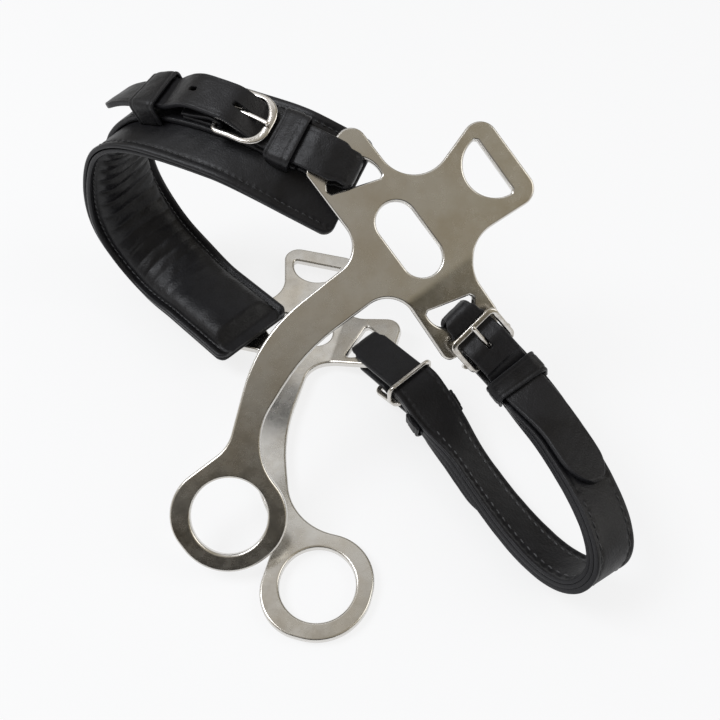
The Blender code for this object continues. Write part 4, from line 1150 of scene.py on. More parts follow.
def build_stitches(name: str, end: End, span: tuple[float, float], across: Profile, height: Profile,
                   stitching: Stitching, outward: float, material: bpy.types.Material) -> bpy.types.Object:
    """Build one row of stitches, each a bent length of thread that dips into its two holes.

    Args:
        name: The piece's name.
        end: The band's end that stations are measured from.
        span: First and last station.
        across: Place of the row across the band at stations.
        height: Height of the leather at stations.
        stitching: Sizes of the stitches.
        outward: 1 when they show on the outer face, -1 on the inner one.
        material: The thread.

    Returns:
        The row.
    """
    count = int((span[1] - span[0]) / stitching.pitch)
    centres = stitching.pitch * (np.arange(count) + math.ceil(span[0] / stitching.pitch) + 0.5)
    rings, sides = 9, 8
    t = np.linspace(-1, 1, rings)
    turns = np.linspace(0, 2 * math.pi, sides, endpoint=False)
    bulge = np.sqrt(np.clip(1 - np.abs(t) ** 3, 0.05, 1))
    lift = stitching.radius * (0.55 - 1.7 * t ** 4)
    ds = t[:, None] * stitching.length / 2 * math.cos(stitching.slant) + 0 * turns
    dx = (t[:, None] * stitching.length / 2 * math.sin(stitching.slant)
          + stitching.radius * bulge[:, None] * np.cos(turns))
    dh = lift[:, None] + stitching.radius * bulge[:, None] * np.sin(turns)
    s = centres[:, None, None] + ds
    base = height(centres)[:, None, None]
    points = end.place(s, across(centres)[:, None, None] + dx, base + outward * dh)
    block = rings * sides
    i, j = np.meshgrid(np.arange(rings - 1), np.arange(sides), indexing="ij")
    quads = np.stack([i * sides + j, i * sides + (j + 1) % sides, (i + 1) * sides + (j + 1) % sides,
                      (i + 1) * sides + j], axis=-1).reshape(-1, 4)
    caps = [list(range(sides))[::-1], [(rings - 1) * sides + k for k in range(sides)]]
    if enclosed_volume(points.reshape(-1, 3)[:block], quads) < 0:
        quads = quads[:, ::-1]
        caps = [cap[::-1] for cap in caps]
    faces: list[list[int]] = []
    for k in range(count):
        faces += (quads + k * block).tolist()
        faces += [[v + k * block for v in cap] for cap in caps]
    return add_mesh(name, points, faces, material)


# Finishes


class Nodes:
    """A material's node tree, filled from its surface shader backwards."""

    def __init__(self, name: str) -> None:
        """Make the material.

        Args:
            name: The material's name.
        """
        self.material = bpy.data.materials.new(name)
        self.material.use_nodes = True
        self.tree = self.material.node_tree
        self.shader = self.tree.nodes["Principled BSDF"]

    def add(self, kind: str, **values: object) -> bpy.types.Node:
        """Add a node, with its settings and the default values of its inputs by name.

        Args:
            kind: The node's type.
            **values: Settings, and default values of inputs.

        Returns:
            The node.
        """
        node = self.tree.nodes.new("ShaderNode" + kind)
        for key, value in values.items():
            if hasattr(node, key):
                setattr(node, key, value)
            else:
                node.inputs[key.replace("_", " ")].default_value = value
        return node

    def link(self, source: bpy.types.NodeSocket, target: bpy.types.NodeSocket) -> None:
        """Link an output to an input."""
        self.tree.links.new(source, target)

    def set(self, **values: object) -> None:
        """Set values on the shader's own sockets."""
        for key, value in values.items():
            self.shader.inputs[key.replace("_", " ")].default_value = value

    def place(self) -> bpy.types.NodeSocket:
        """Return places in the object, in metres."""
        return self.add("TexCoord").outputs["Object"]

    def noise(self, where: bpy.types.NodeSocket, scale: float, detail: float = 3.0,
              roughness: float = 0.55) -> bpy.types.NodeSocket:
        """Return a noise between 0 and 1 at a scale per metre.

        Args:
            where: The places.
            scale: Its scale, per metre.
            detail: How many finer noises are added.
            roughness: How strong the finer ones are.

        Returns:
            The noise.
        """
        node = self.add("TexNoise", Scale=scale, Detail=detail, Roughness=roughness)
        self.link(where, node.inputs["Vector"])
        return node.outputs["Fac"]

    def cells(self, where: bpy.types.NodeSocket, scale: float, feature: str = "F1") -> bpy.types.NodeSocket:
        """Return the distance in a pattern of cells at a scale per metre.

        Args:
            where: The places.
            scale: Its scale, per metre.
            feature: Which distance is measured.

        Returns:
            The distance.
        """
        node = self.add("TexVoronoi", feature=feature, Scale=scale)
        self.link(where, node.inputs["Vector"])
        return node.outputs["Distance"]

    def mapped(self, value: bpy.types.NodeSocket, low: float, high: float, to_low: float,
               to_high: float) -> bpy.types.NodeSocket:
        """Return a value moved from one range to another and kept inside it.

        Args:
            value: The value.
            low: Start of its range.
            high: End of its range.
            to_low: Start of the new range.
            to_high: End of the new range.

        Returns:
            The moved value.
        """
        node = self.add("MapRange")
        self.link(value, node.inputs["Value"])
        for key, number in (("From Min", low), ("From Max", high), ("To Min", to_low), ("To Max", to_high)):
            node.inputs[key].default_value = number
        return node.outputs["Result"]

    def math(self, operation: str, first: bpy.types.NodeSocket | float,
             second: bpy.types.NodeSocket | float) -> bpy.types.NodeSocket:
        """Return a sum, product or the like of two values.

        Args:
            operation: What is done with both.
            first: The first value.
            second: The second value.

        Returns:
            The result.
        """
        node = self.add("Math", operation=operation)
        for index, value in enumerate((first, second)):
            if isinstance(value, (int, float)):
                node.inputs[index].default_value = value
            else:
                self.link(value, node.inputs[index])
        return node.outputs["Value"]

    def mark(self, name: str) -> bpy.types.NodeSocket:
        """Return a value that the mesh carries at its points."""
        return self.add("Attribute", attribute_name=name).outputs["Fac"]

    def mix(self, share: bpy.types.NodeSocket, low: tuple[float, float, float] | bpy.types.NodeSocket,
            high: tuple[float, float, float] | bpy.types.NodeSocket) -> bpy.types.NodeSocket:
        """Return a blend of two colours.

        Args:
            share: How much of the second colour.
            low: The first colour.
            high: The second colour.

        Returns:
            The blend.
        """
        node = self.add("Mix", data_type="RGBA")
        self.link(share, node.inputs["Factor"])
        for index, colour in ((6, low), (7, high)):
            if isinstance(colour, tuple):
                node.inputs[index].default_value = (*colour, 1.0)
            else:
                self.link(colour, node.inputs[index])
        return node.outputs[2]

    def relief(self, *layers: tuple[bpy.types.NodeSocket, float, float]) -> None:
        """Stack bumps, each a height, its depth in metres and its strength, on the shader's normal.

        Args:
            *layers: Each bump's height, depth and strength.
        """
        normal = None
        for height, depth, strength in layers:
            node = self.add("Bump", Strength=strength, Distance=depth)
            self.link(height, node.inputs["Height"])
            if normal:
                self.link(normal, node.inputs["Normal"])
            normal = node.outputs["Normal"]
        self.link(normal, self.shader.inputs["Normal"])


@dataclass(frozen=True)
class SteelFinish:
    """Satin steel with fine polishing marks and faint stains; a painted highlight makes its rounded rim edges
    brighter.
    """

    name: str = "cheek_steel"
    colour: tuple[float, float, float] = (0.61, 0.595, 0.565)
    stain: tuple[float, float, float] = (0.53, 0.49, 0.425)
    # Brighter steel colour for the painted rim highlight.
    painted_edge_highlight: tuple[float, float, float] = (0.74, 0.725, 0.70)
    roughness: float = 0.24

    def make(self) -> bpy.types.Material:
        """Return the material.

        Returns:
            The material.
        """
        nodes = Nodes(self.name)
        where = nodes.place()
        stains = nodes.mapped(nodes.noise(where, 38.0, 5.0, 0.6), 0.42, 0.68, 0.0, 1.0)
        tint = nodes.mix(stains, self.colour, self.stain)
        # Painted highlight: the edge mark, one at the rounded rim, blends the steel towards a brighter colour
        # where light would catch the edges.
        edge = nodes.mapped(nodes.mark("edge"), 0.15, 1.0, 0.0, 0.8)
        nodes.link(nodes.mix(edge, tint, self.painted_edge_highlight), nodes.shader.inputs["Base Color"])
        polish = nodes.noise(where, 900.0, 4.0, 0.7)
        rough = nodes.mapped(nodes.noise(where, 120.0, 4.0, 0.65), 0.3, 0.75, self.roughness - 0.05,
                             self.roughness + 0.1)
        nodes.link(rough, nodes.shader.inputs["Roughness"])
        nodes.set(Metallic=1.0)
        nodes.relief((nodes.noise(where, 45.0, 3.0), 0.0006, 0.22), (polish, 0.00004, 0.3))
        return nodes.material


@dataclass(frozen=True)
class NickelFinish:
    """Bright plated buckle metal, dulled by handling."""

    name: str = "buckle_nickel"
    colour: tuple[float, float, float] = (0.66, 0.64, 0.61)
    dull: tuple[float, float, float] = (0.46, 0.42, 0.37)
    roughness: float = 0.17

    def make(self) -> bpy.types.Material:
        """Return the material.

        Returns:
            The material.
        """
        nodes = Nodes(self.name)
        where = nodes.place()
        spots = nodes.mapped(nodes.noise(where, 260.0, 5.0, 0.65), 0.45, 0.75, 0.0, 1.0)
        nodes.link(nodes.mix(spots, self.colour, self.dull), nodes.shader.inputs["Base Color"])
        nodes.link(nodes.mapped(spots, 0.0, 1.0, self.roughness, self.roughness + 0.16),
                   nodes.shader.inputs["Roughness"])
        nodes.set(Metallic=1.0)
        nodes.relief((nodes.noise(where, 420.0, 3.0), 0.0001, 0.35))
        return nodes.material


@dataclass(frozen=True)
class LeatherFinish:
    """Dyed black leather: pores and grain, soft creases, and edges rubbed smooth; their greyer colour is
    partly wear and partly a painted highlight.
    """

    name: str
    colour: tuple[float, float, float] = (0.0058, 0.0056, 0.0066)
    worn: tuple[float, float, float] = (0.0105, 0.0105, 0.0122)
    # Greyer edge colour: partly rubbed wear, partly a painted highlight on the rolled edges.
    rubbed_and_sheen: tuple[float, float, float] = (0.014, 0.014, 0.016)
    roughness: float = 0.44
    edge_roughness: float = 0.38
    grain: float = 1250.0
    grain_depth: float = 0.00012
    crease: float = 420.0
    crease_depth: float = 0.00030

    def make(self) -> bpy.types.Material:
        """Return the material.

        Returns:
            The material.
        """
        nodes = Nodes(self.name)
        where = nodes.place()
        patches = nodes.mapped(nodes.noise(where, 70.0, 4.0, 0.6), 0.38, 0.72, 0.0, 1.0)
        # The edge mark greys the edges: partly rubbed wear, partly a painted highlight.
        edge = nodes.mapped(nodes.mark("edge"), 0.35, 1.0, 0.0, 1.0)
        base = nodes.mix(edge, nodes.mix(patches, self.colour, self.worn), self.rubbed_and_sheen)
        nodes.link(base, nodes.shader.inputs["Base Color"])
        fine = nodes.noise(where, 2600.0, 3.0, 0.6)
        rough = nodes.mapped(nodes.noise(where, 160.0, 5.0, 0.65), 0.3, 0.75, self.roughness - 0.07,
                             self.roughness + 0.09)
        rubbed_and_sheen = nodes.add("Mix")
        nodes.link(edge, rubbed_and_sheen.inputs["Factor"])
        nodes.link(rough, rubbed_and_sheen.inputs["A"])
        rubbed_and_sheen.inputs["B"].default_value = self.edge_roughness
        nodes.link(rubbed_and_sheen.outputs["Result"], nodes.shader.inputs["Roughness"])
        nodes.set(Specular_IOR_Level=0.28)
        pores = nodes.mapped(nodes.cells(where, self.grain, "SMOOTH_F1"), 0.0, 0.75, 1.0, 0.0)
        creases = nodes.noise(where, self.crease, 6.0, 0.62)
        nodes.relief((creases, self.crease_depth, 0.35), (pores, self.grain_depth, 0.6), (fine, 0.00003, 0.5))
        return nodes.material


@dataclass(frozen=True)
class ThreadFinish:
    """Waxed thread with its twist."""

    name: str
    colour: tuple[float, float, float]
    roughness: float = 0.5

    def make(self) -> bpy.types.Material:
        """Return the material.

        Returns:
            The material.
        """
        nodes = Nodes(self.name)
        where = nodes.place()
        spots = nodes.noise(where, 1500.0, 2.0)
        dark = tuple(0.6 * part for part in self.colour)
        nodes.link(nodes.mix(spots, dark, self.colour), nodes.shader.inputs["Base Color"])
        nodes.set(Roughness=self.roughness)
        wave = nodes.add("TexWave", Scale=520.0, Distortion=1.5)
        nodes.link(where, wave.inputs["Vector"])
        nodes.relief((wave.outputs["Fac"], 0.00012, 0.6))
        return nodes.material


@dataclass(frozen=True)
class FoamFinish:
    """Open foam, which only shows at a torn edge."""

    name: str = "pad_foam"
    colour: tuple[float, float, float] = (0.22, 0.20, 0.16)
    dark: tuple[float, float, float] = (0.12, 0.11, 0.09)

    def make(self) -> bpy.types.Material:
        """Return the material.

        Returns:
            The material.
        """
        nodes = Nodes(self.name)
        cells = nodes.cells(nodes.place(), 1400.0)
        nodes.link(nodes.mix(cells, self.dark, self.colour), nodes.shader.inputs["Base Color"])
        nodes.set(Roughness=0.95)
        nodes.relief((cells, 0.0003, 0.8))
        return nodes.material


@dataclass
class Finishes:
    """All the materials of the object."""

    steel: bpy.types.Material
    nickel: bpy.types.Material
    strap: bpy.types.Material
    billet: bpy.types.Material
    backing: bpy.types.Material
    lining: bpy.types.Material
    curb: bpy.types.Material
    curb_lining: bpy.types.Material
    foam: bpy.types.Material
    thread: bpy.types.Material
    # Thread whose paler colour is a painted sheen.
    pale_thread: bpy.types.Material

    @classmethod
    def make(cls) -> "Finishes":
        """Return the finishes, each made once.

        Returns:
            The finishes.
        """
        return cls(
            steel=SteelFinish().make(),
            nickel=NickelFinish().make(),
            strap=LeatherFinish("strap_leather").make(),
            billet=LeatherFinish("billet_leather", grain=1500.0).make(),
            backing=LeatherFinish("backing_leather", roughness=0.43, grain=1900.0,
                                  grain_depth=0.00007).make(),
            lining=LeatherFinish("lining_leather", grain=1000.0, crease=300.0, crease_depth=0.00026).make(),
            curb=LeatherFinish("curb_leather", grain=1300.0).make(),
            curb_lining=LeatherFinish("curb_lining_leather", roughness=0.48, grain=1100.0).make(),
            foam=FoamFinish().make(),
            thread=ThreadFinish("black_thread", (0.020, 0.020, 0.022)).make(),
            # Paler thread: its lighter colour is a painted sheen, standing in for the highlight on the
            # thread.
            pale_thread=ThreadFinish("thread_with_painted_sheen", (0.075, 0.075, 0.078)).make(),
        )


# The strap ends: billets, chapes, buckles, tongues and keepers


@dataclass(frozen=True)
class StrapEnd:
    """Sizes of one strap end, in stations from the cheek's slot and heights."""

    thickness: float
    width: float
    fold: float
    full_at: float
    slot_height: float
    front: float
    heel: float
    front_corner: float
    chape_end: float
    tongue_slot: tuple[float, float]
    slot_low: float
    path: tuple[tuple[float, float, float, bool], ...]
    slot_cover: float = 0.0
    tip: tuple[float, float] = (11.0 * MM, 2.2)
    holes: tuple[float, ...] = ()
    folds: tuple[tuple[float, float, float], ...] = ()


@dataclass(frozen=True)
class BuckleShape:
    """Half sizes of a buckle's metal: in its own plane, and the way it is thick."""

    front: tuple[float, float]
    rail: tuple[float, float]
    heel: tuple[float, float]
    square: float


@dataclass
class Fastening:
    """A strap end that goes through the cheek and back through its buckle."""

    name: str
    end: End
    body_top: Callable[[float], float]
    sizes: StrapEnd
    shift: Profile
    finishes: Finishes
    buckle: BuckleShape
    body: str
    wire: float = 1.35 * MM
    tongue: float = 1.0 * MM
    chape: float = 1.8 * MM
    side_room: float = 0.8 * MM
    seed: float = 0.0

    def __post_init__(self) -> None:
        """Find the buckle's heights and the billet's path."""
        sizes = self.sizes
        self.heel_height = self.body_top(sizes.heel) + 2 * TOUCH_GAP + self.chape + self.wire
        self.half = sizes.thickness / 2
        self.centre = float(self.shift(np.array([sizes.heel]))[0])
        over_heel = self.heel_height + self.wire + 2 * TOUCH_GAP + self.chape + self.half + 0.2 * MM
        corners = [(s, over_heel + h if on_heel else h, radius) for s, h, radius, on_heel in sizes.path]
        self.path = rounded_outline(corners, closed=False)
        self.slot = (sizes.tongue_slot[0], sizes.tongue_slot[1] - sizes.slot_cover)
        self.front_height = float(height_at(self.path, sizes.front)[0]) + self.half + TOUCH_GAP + self.wire

    def width(self, line: Array) -> Array:
        """Return the billet's width: gathered inside the slot, pointed at its tip.

        Args:
            line: Stations and heights along the billet, in rows.

        Returns:
            The widths.
        """
        sizes = self.sizes
        above = np.abs(line[:, 1] - sizes.slot_height) - 2.0 * MM
        away = np.clip(above, 0, None) / (LOOP_CLEARANCE + self.half)
        share = np.clip((line[:, 0] - 0.2 * MM) / sizes.full_at, 0, 1)
        share = np.where(line[:, 0] < sizes.full_at, np.maximum(share, 0.6 * np.clip(away, 0, 1)), 1.0)
        wide = sizes.fold + (sizes.width - sizes.fold) * smooth_step(share)
        left = self.path[-1, 0] - line[:, 0]
        length, bluntness = sizes.tip
        tip = (left < length) & (line[:, 0] > sizes.heel)
        point = np.sqrt(np.clip(1 - np.clip(1 - left / length, 0, 1) ** bluntness, 0.01, 1))
        return np.where(tip, wide * point, wide)

    def punch(self, name: str, span: tuple[float, float], half: float, low: float,
              high: float) -> bpy.types.Object:
        """Build a cutter for a hole with round ends, punched straight down at stations.

        Args:
            name: The cutter's name.
            span: First and last station of the hole.
            half: Half the hole's width.
            low: Height of the cutter's foot.
            high: Height of its top.

        Returns:
            The cutter.
        """
        turns = np.linspace(0, math.pi, 9)
        first, last = span
        lead = min(half, (last - first) / 2)
        ease = lead * (1 - np.cos(turns / 2))
        stations = np.concatenate([first + ease, last - ease[::-1]])
        narrow = np.concatenate([np.sin(turns / 2), np.sin(turns / 2)[::-1]])
        wide = half * np.maximum(0.05, narrow)
        across = np.stack([wide, wide, -wide, -wide], axis=1) + self.centre
        height = np.broadcast_to(np.array([low, high, high, low]), across.shape)
        rows = self.end.place(stations[:, None], across, height)
        return skin(name, rows, np.append(stations, last + MM), np.arange(5) * MM, self.finishes.strap)

    def build_billet(self) -> bpy.types.Object:
        """Build the strap end that passes through the cheek and back through the buckle.

        Returns:
            The billet.
        """
        sizes = self.sizes
        section = strap_section(sizes.width, sizes.thickness, 0.9 * MM, 0.8 * MM)
        relief = CreasedRelief(sizes.width / 2, folds=sizes.folds, seed=self.seed)
        made = build_ribbon(self.name + "_billet_strap", self.end, self.path, section, self.width, self.shift,
                            relief, self.finishes.billet)
        high = self.heel_height + 12 * MM
        cutters = [self.punch("tongue opening", self.slot, 1.35 * MM, sizes.slot_low, high)]
        for k, station in enumerate(sizes.holes):
            level = float(height_at(self.path, station)[0])
            cutters.append(self.punch(f"hole {k}", (station - 2.1 * MM, station + 2.1 * MM), 1.35 * MM,
                                      level - 3 * MM, level + 4 * MM))
        cut(made, cutters)
        return made

    def chape_path(self) -> Array:
        """Return the short strap's line: in under the heel bar, round it and back.

        Returns:
            Stations and heights, in rows.
        """
        sizes = self.sizes
        heel, last = sizes.heel, sizes.chape_end
        radius = self.wire + TOUCH_GAP + self.chape / 2
        low = self.heel_height - radius
        rise = self.body_top(last) - self.body_top(heel)
        turns = -math.pi / 2 - np.linspace(0, math.pi, 25)
        top = low + self.chape + TOUCH_GAP + rise
        bend = np.column_stack([heel + radius * np.cos(turns), self.heel_height + radius * np.sin(turns)])
        after = np.array([(heel + 2.5 * MM, self.heel_height + radius),
                          (heel + 0.7 * (last - heel), top + 0.4 * MM), (last, top)])
        return np.vstack([[(last, low + rise)], bend, after])

    def build_chape(self) -> bpy.types.Object:
        """Build the short strap that holds the buckle's heel bar.

        Returns:
            The short strap.
        """
        width = self.sizes.width - 1 * MM
        section = strap_section(width, self.chape, 0.6 * MM)
        relief = CreasedRelief(width / 2, waves=0.05 * MM, seed=self.seed + 3)
        made = build_ribbon(self.name + "_chape_strap", self.end, self.chape_path(), section,
                            lambda line: np.full(len(line), width), self.shift, relief, self.finishes.strap)
        past = self.wire + TOUCH_GAP + self.chape / 2 + 2 * MM
        heel = self.sizes.heel
        opening = self.punch("tongue opening", (heel - past, heel + past + 0.9 * MM), self.tongue + 0.8 * MM,
                             self.heel_height - past, self.heel_height + past)
        cut(made, [opening])
        return made

    def build_buckle(self) -> bpy.types.Object:
        """Build the buckle's frame, its bars dressed to their own sections.

        Returns:
            The frame.
        """
        sizes = self.sizes
        half = sizes.width / 2 + self.side_room + self.wire
        corners = [(sizes.front, half, sizes.front_corner), (sizes.heel, half, 2.5 * MM),
                   (sizes.heel, -half, 2.5 * MM), (sizes.front, -half, sizes.front_corner)]
        line = resample(rounded_outline(corners), 0.6 * MM, closed=True)
        share = (line[:, 0] - sizes.front) / (sizes.heel - sizes.front)
        height = self.front_height + (self.heel_height - self.front_height) * share
        points = self.end.place(line[:, 0], self.centre + line[:, 1], height)
        nearness = smooth_step(1 - share * 3.2)
        heel = smooth_step((share - 0.86) / 0.12)
        wide, thick = (self.buckle.rail[k] + (self.buckle.front[k] - self.buckle.rail[k]) * nearness
                       + (self.buckle.heel[k] - self.buckle.rail[k]) * heel for k in range(2))
        up = self.end.direction((sizes.front + sizes.heel) / 2, (0, 0, 1))
        return build_wire(self.name + "_buckle_frame", points, up, wide, thick, self.buckle.square,
                          self.finishes.nickel, True, 28)

    def build_tongue(self) -> bpy.types.Object:
        """Build the tongue: hooked round the heel bar, flattened along the prong, round at its tip.

        Returns:
            The tongue.
        """
        sizes = self.sizes
        radius = self.wire + TOUCH_GAP + self.tongue
        turns = np.radians(np.linspace(-120, 90, 24))
        hook = np.column_stack([sizes.heel + radius * np.cos(turns),
                                self.heel_height + radius * np.sin(turns)])
        top = self.front_height + self.wire + TOUCH_GAP + self.tongue
        level = self.heel_height + radius
        share = np.array([[0.35], [0.7], [1.0]])
        prong = np.array([[sizes.heel, level]]) + np.array([[sizes.front - sizes.heel, top - level]]) * share
        line = resample(np.vstack([hook, prong, [(sizes.front - 1.4 * MM, top - 0.1 * MM)]]), 0.5 * MM)
        left = np.linspace(1, 0, len(line))
        reach = len(line) * 0.5 * MM
        from_tip = left * reach
        dome = np.sqrt(np.clip(1 - (1 - np.clip(from_tip / (1.1 * MM), 0, 1)) ** 2, 0.02, 1))
        wide = self.tongue * (1.0 + 0.35 * smooth_step((left - 0.1) / 0.5)) * dome
        thick = self.tongue * (1.0 - 0.12 * smooth_step((0.6 - left) / 0.3)) * dome
        points = self.end.place(line[:, 0], self.centre, line[:, 1])
        up = self.end.direction(sizes.heel, (0, 1, 0))
        return build_wire(self.name + "_tongue_prong", points, up, thick, wide, 0.85, self.finishes.nickel,
                          False)

    def build(self) -> None:
        """Build the strap end's pieces and hang them on their bodies."""
        carry(self.build_billet(), self.body, "black_leather", self.name + "_billet")
        carry(self.build_chape(), self.body, "black_leather", self.name + "_chape")
        carry(self.build_buckle(), self.body, "buckle_nickel", self.name + "_buckle")
        carry(self.build_tongue(), self.name + "_tongue", "buckle_nickel", self.name + "_tongue")


def carry(item: bpy.types.Object, body: str, slot: str, *nodes: str) -> bpy.types.Object:
    """Hang a piece on its body, in the place of the plain solids that it stands for.

    Args:
        item: The piece.
        body: The body that it rides on.
        slot: Its material slot; not used.
        *nodes: The nodes that it replaces.

    Returns:
        The piece.
    """
    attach(item, body)
    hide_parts(*nodes)
    LOG.info("built %s on %s: %d faces", item.name, body, len(item.data.polygons))
    return item


# The noseband


@dataclass(frozen=True)
class PadRelief:
    """The lining's inner face: it bunches into folds where the pad bends, and puckers at its seam."""

    half: float
    bends: tuple[tuple[float, float, float], ...]
    pitch: float = 7.6 * MM

    def __call__(self, along: Array, across: Array) -> Array:
        """Return how far the lining stands in beyond its even dome.

        Args:
            along: Stations.
            across: Places across the leather.

        Returns:
            How far the lining stands in.
        """
        wander = 1.3 * MM * np.sin(across / (8.5 * MM) + along / (27 * MM))
        wander = wander + 2.4 * MM * np.sin(along / (19 * MM))
        turn = math.pi * (along + wander) / self.pitch
        pillow = np.abs(np.sin(turn)) ** 0.62 - 0.68
        small = np.sin(2 * math.pi * (along + 1.4 * wander) / (3.7 * MM) + across / (4.4 * MM))
        side = np.clip(np.abs(across) / self.half, 0, 1)
        fade = np.clip((1 - side) / 0.12, 0, 1)
        shape = 0.22 * MM * ripple(along, across, 33 * MM, 1.3)
        for centre, spread, depth in self.bends:
            near = bump(along, centre, spread)
            shape = shape + near * depth * (pillow * (0.55 + 0.45 * side) + 0.07 * small * (0.4 + 0.6 * side))
        return shape * fade


@dataclass
class Noseband:
    """The padded noseband: a stitched outer, a soft lining over its filling, and the strap along it."""

    route: Route
    placing: Placing
    finishes: Finishes
    width: float = 46.5 * MM
    backing: float = 2.0 * MM
    lining: float = 1.2 * MM
    dome: float = 6.0 * MM
    border: float = 4.6 * MM
    corner: float = 5.0 * MM
    ramp: float = 9.0 * MM
    strap_width: float = 20.0 * MM
    strap: float = 2.8 * MM
    strap_start: float = 24.0 * MM
    near_shift: float = 5.4 * MM
    far_shift: float = 1.2 * MM
    shift_from: float = 112.0 * MM
    shift_to: float = 190.0 * MM
    keeper_at: float = 31.85 * MM
    keeper_length: float = 10.5 * MM
    heel: float = 62.6 * MM
    runner_at: float = 99.0 * MM
    runner_length: float = 13.5 * MM
    stitching: Stitching = Stitching(3.9 * MM)
    body: str = "noseband"

    def __post_init__(self) -> None:
        """Find the heights of the layers."""
        self.whole = End(self.route, Side.NEAR, self.placing)
        self.backing_low = TOUCH_GAP
        self.backing_top = self.backing_low + self.backing
        self.strap_low = self.backing_top + TOUCH_GAP
        self.strap_top = self.strap_low + self.strap

    def shift(self, stations: Array) -> Array:
        """Return how far the strap's middle is from the pad's at stations from the near slot."""
        share = (stations - self.shift_from) / (self.shift_to - self.shift_from)
        return self.near_shift + (self.far_shift - self.near_shift) * smooth_step(share)

    def dome_height(self, stations: Array) -> Array:
        """Return how far the filling stands in at stations."""
        inside = np.minimum(stations - self.route.start, self.route.end - stations) - self.border
        return self.dome * smooth_step(inside / self.ramp)

    def dome_shape(self, across: Array, height: Array) -> Array:
        """Return the filling's rise across the pad.

        Args:
            across: Places across the pad.
            height: The rise at its middle.

        Returns:
            The rise.
        """
        half = self.width / 2 - self.border
        inside = np.clip(1 - (np.abs(across) / half) ** 4, 0, 1)
        return height * inside ** 0.6

    def build_outer(self) -> bpy.types.Object:
        """Build the outer leather, stitched all along both edges.

        Returns:
            The outer leather.
        """
        section = strap_section(self.width, self.backing, 0.95 * MM, 0.7 * MM)
        relief = StitchedRelief(self.width / 2, self.stitching, border=0.35 * MM, waves=0.1 * MM, seed=0.4)
        level = (self.backing_low + self.backing_top) / 2
        return build_band("pad_outer", self.whole, (self.route.start, self.route.end), section,
                          lambda s: np.full(s.shape, level), lambda s: 0 * s, relief, self.finishes.backing,
                          0.8 * MM, self.corner)

    def build_lining(self) -> bpy.types.Object:
        """Build the soft lining over the filling.

        Returns:
            The lining.
        """
        half = self.width / 2
        stations, shrink = rounded_stations(self.route.start, self.route.end, 0.8 * MM, 0.5 * MM)
        flat = np.linspace(0.4 * MM - half, half - 0.4 * MM, 72)
        s = stations[:, None]
        height = self.dome_height(stations)[:, None]
        folds = PadRelief(half - self.border, ((70 * MM, 30 * MM, 0.6 * MM), (136 * MM, 38 * MM, 2.6 * MM),
                                               (205 * MM, 30 * MM, 0.8 * MM)))
        under = -self.dome_shape(flat, height)
        share = np.clip(height / self.dome, 0, 1)
        seam = half - self.stitching.inset - 0.3 * MM
        groove = 0.5 * MM * bump(np.abs(flat), seam, 0.8 * MM)
        roll = 1.2 * MM * bump(np.abs(flat), half - 1.3 * MM, 1.6 * MM)
        over = under - self.lining - folds(s, flat) * share + groove - roll
        inset = np.maximum(shrink, corner_inset(stations, self.route.start, self.route.end, self.corner))
        narrow = 1 - inset[:, None] / half
        across = np.concatenate([flat, [half, half], flat[::-1], [-half, -half]])
        edge_low, edge_high = -self.lining - 0.5 * MM, -self.lining * 0.28
        sides = np.broadcast_to(np.array([edge_high, edge_low]), (len(stations), 2))
        rows_height = np.hstack([under, sides, over[:, ::-1], sides[:, ::-1]])
        rows = self.whole.place(s, across * narrow, rows_height)
        closed = np.append(across, across[0])
        around = np.concatenate([[0.0], np.cumsum(np.abs(np.diff(closed)) + 0.02 * MM)])
        # The edge mark greys the lining's edges, partly as wear and partly as a painted highlight.
        edge = np.exp(-(half - np.abs(across)) / (2.0 * MM))
        return skin("pad_soft_lining", rows, np.append(stations, stations[-1] + MM), around,
                    self.finishes.lining, {"edge": edge})

    def build_filling(self) -> bpy.types.Object:
        """Build the foam between the outer leather and the lining.

        Returns:
            The foam.
        """
        half = (self.width / 2 - self.border) * 0.93
        first = self.route.start + self.border + self.ramp / 2
        last = self.route.end - self.border - self.ramp / 2
        stations = np.linspace(first, last, 160)
        flat = np.linspace(-half, half, 24)
        height = self.dome_height(stations)[:, None]
        top = -TOUCH_GAP
        low = np.minimum(top - 2 * TOUCH_GAP, 3 * TOUCH_GAP - self.dome_shape(flat, height))
        rows_height = np.hstack([low, np.full(low.shape, top)])
        across = np.concatenate([flat, flat[::-1]])
        rows = self.whole.place(stations[:, None], across, rows_height)
        around = np.arange(len(across) + 1) * MM
        return skin("pad_foam_filling", rows, np.append(stations, last + MM), around, self.finishes.foam)

    def build_strap(self) -> bpy.types.Object:
        """Build the strap that runs along the outer leather from buckle to buckle.

        Returns:
            The strap.
        """
        section = strap_section(self.strap_width, self.strap, 1.0 * MM, 0.8 * MM)
        relief = CreasedRelief(self.strap_width / 2, inset=2.0 * MM, depth=0.2 * MM, waves=0.12 * MM,
                               seed=5.0)
        level = (self.strap_low + self.strap_top) / 2
        span = (self.strap_start, self.route.length - self.strap_start)
        return build_band("noseband_long_strap", self.whole, span, section, lambda s: np.full(s.shape, level),
                          self.shift, relief, self.finishes.strap)

    def build_seams(self) -> None:
        """Lay the stitches along both edges of the outer leather."""
        span = (self.route.start + self.stitching.inset, self.route.end - self.stitching.inset)
        inset = self.width / 2 - self.stitching.inset
        level = self.backing_top - self.stitching.groove * 0.55
        for word, side in (("upper", 1.0), ("lower", -1.0)):
            row = build_stitches(f"pad_{word}_stitches", self.whole, span,
                                 lambda s, x=side * inset: np.full(s.shape, x),
                                 lambda s: np.full(s.shape, level), self.stitching, 1.0, self.finishes.thread)
            carry(row, self.body, "waxed_thread", f"pad_{word}_seam")
            row = build_stitches(f"pad_lining_{word}_stitches", self.whole, span,
                                 lambda s, x=side * (inset - 0.3 * MM): np.full(s.shape, x),
                                 lambda s: np.full(s.shape, -self.lining + 0.1 * MM), self.stitching, -1.0,
                                 self.finishes.pale_thread)
            carry(row, self.body, "waxed_thread")

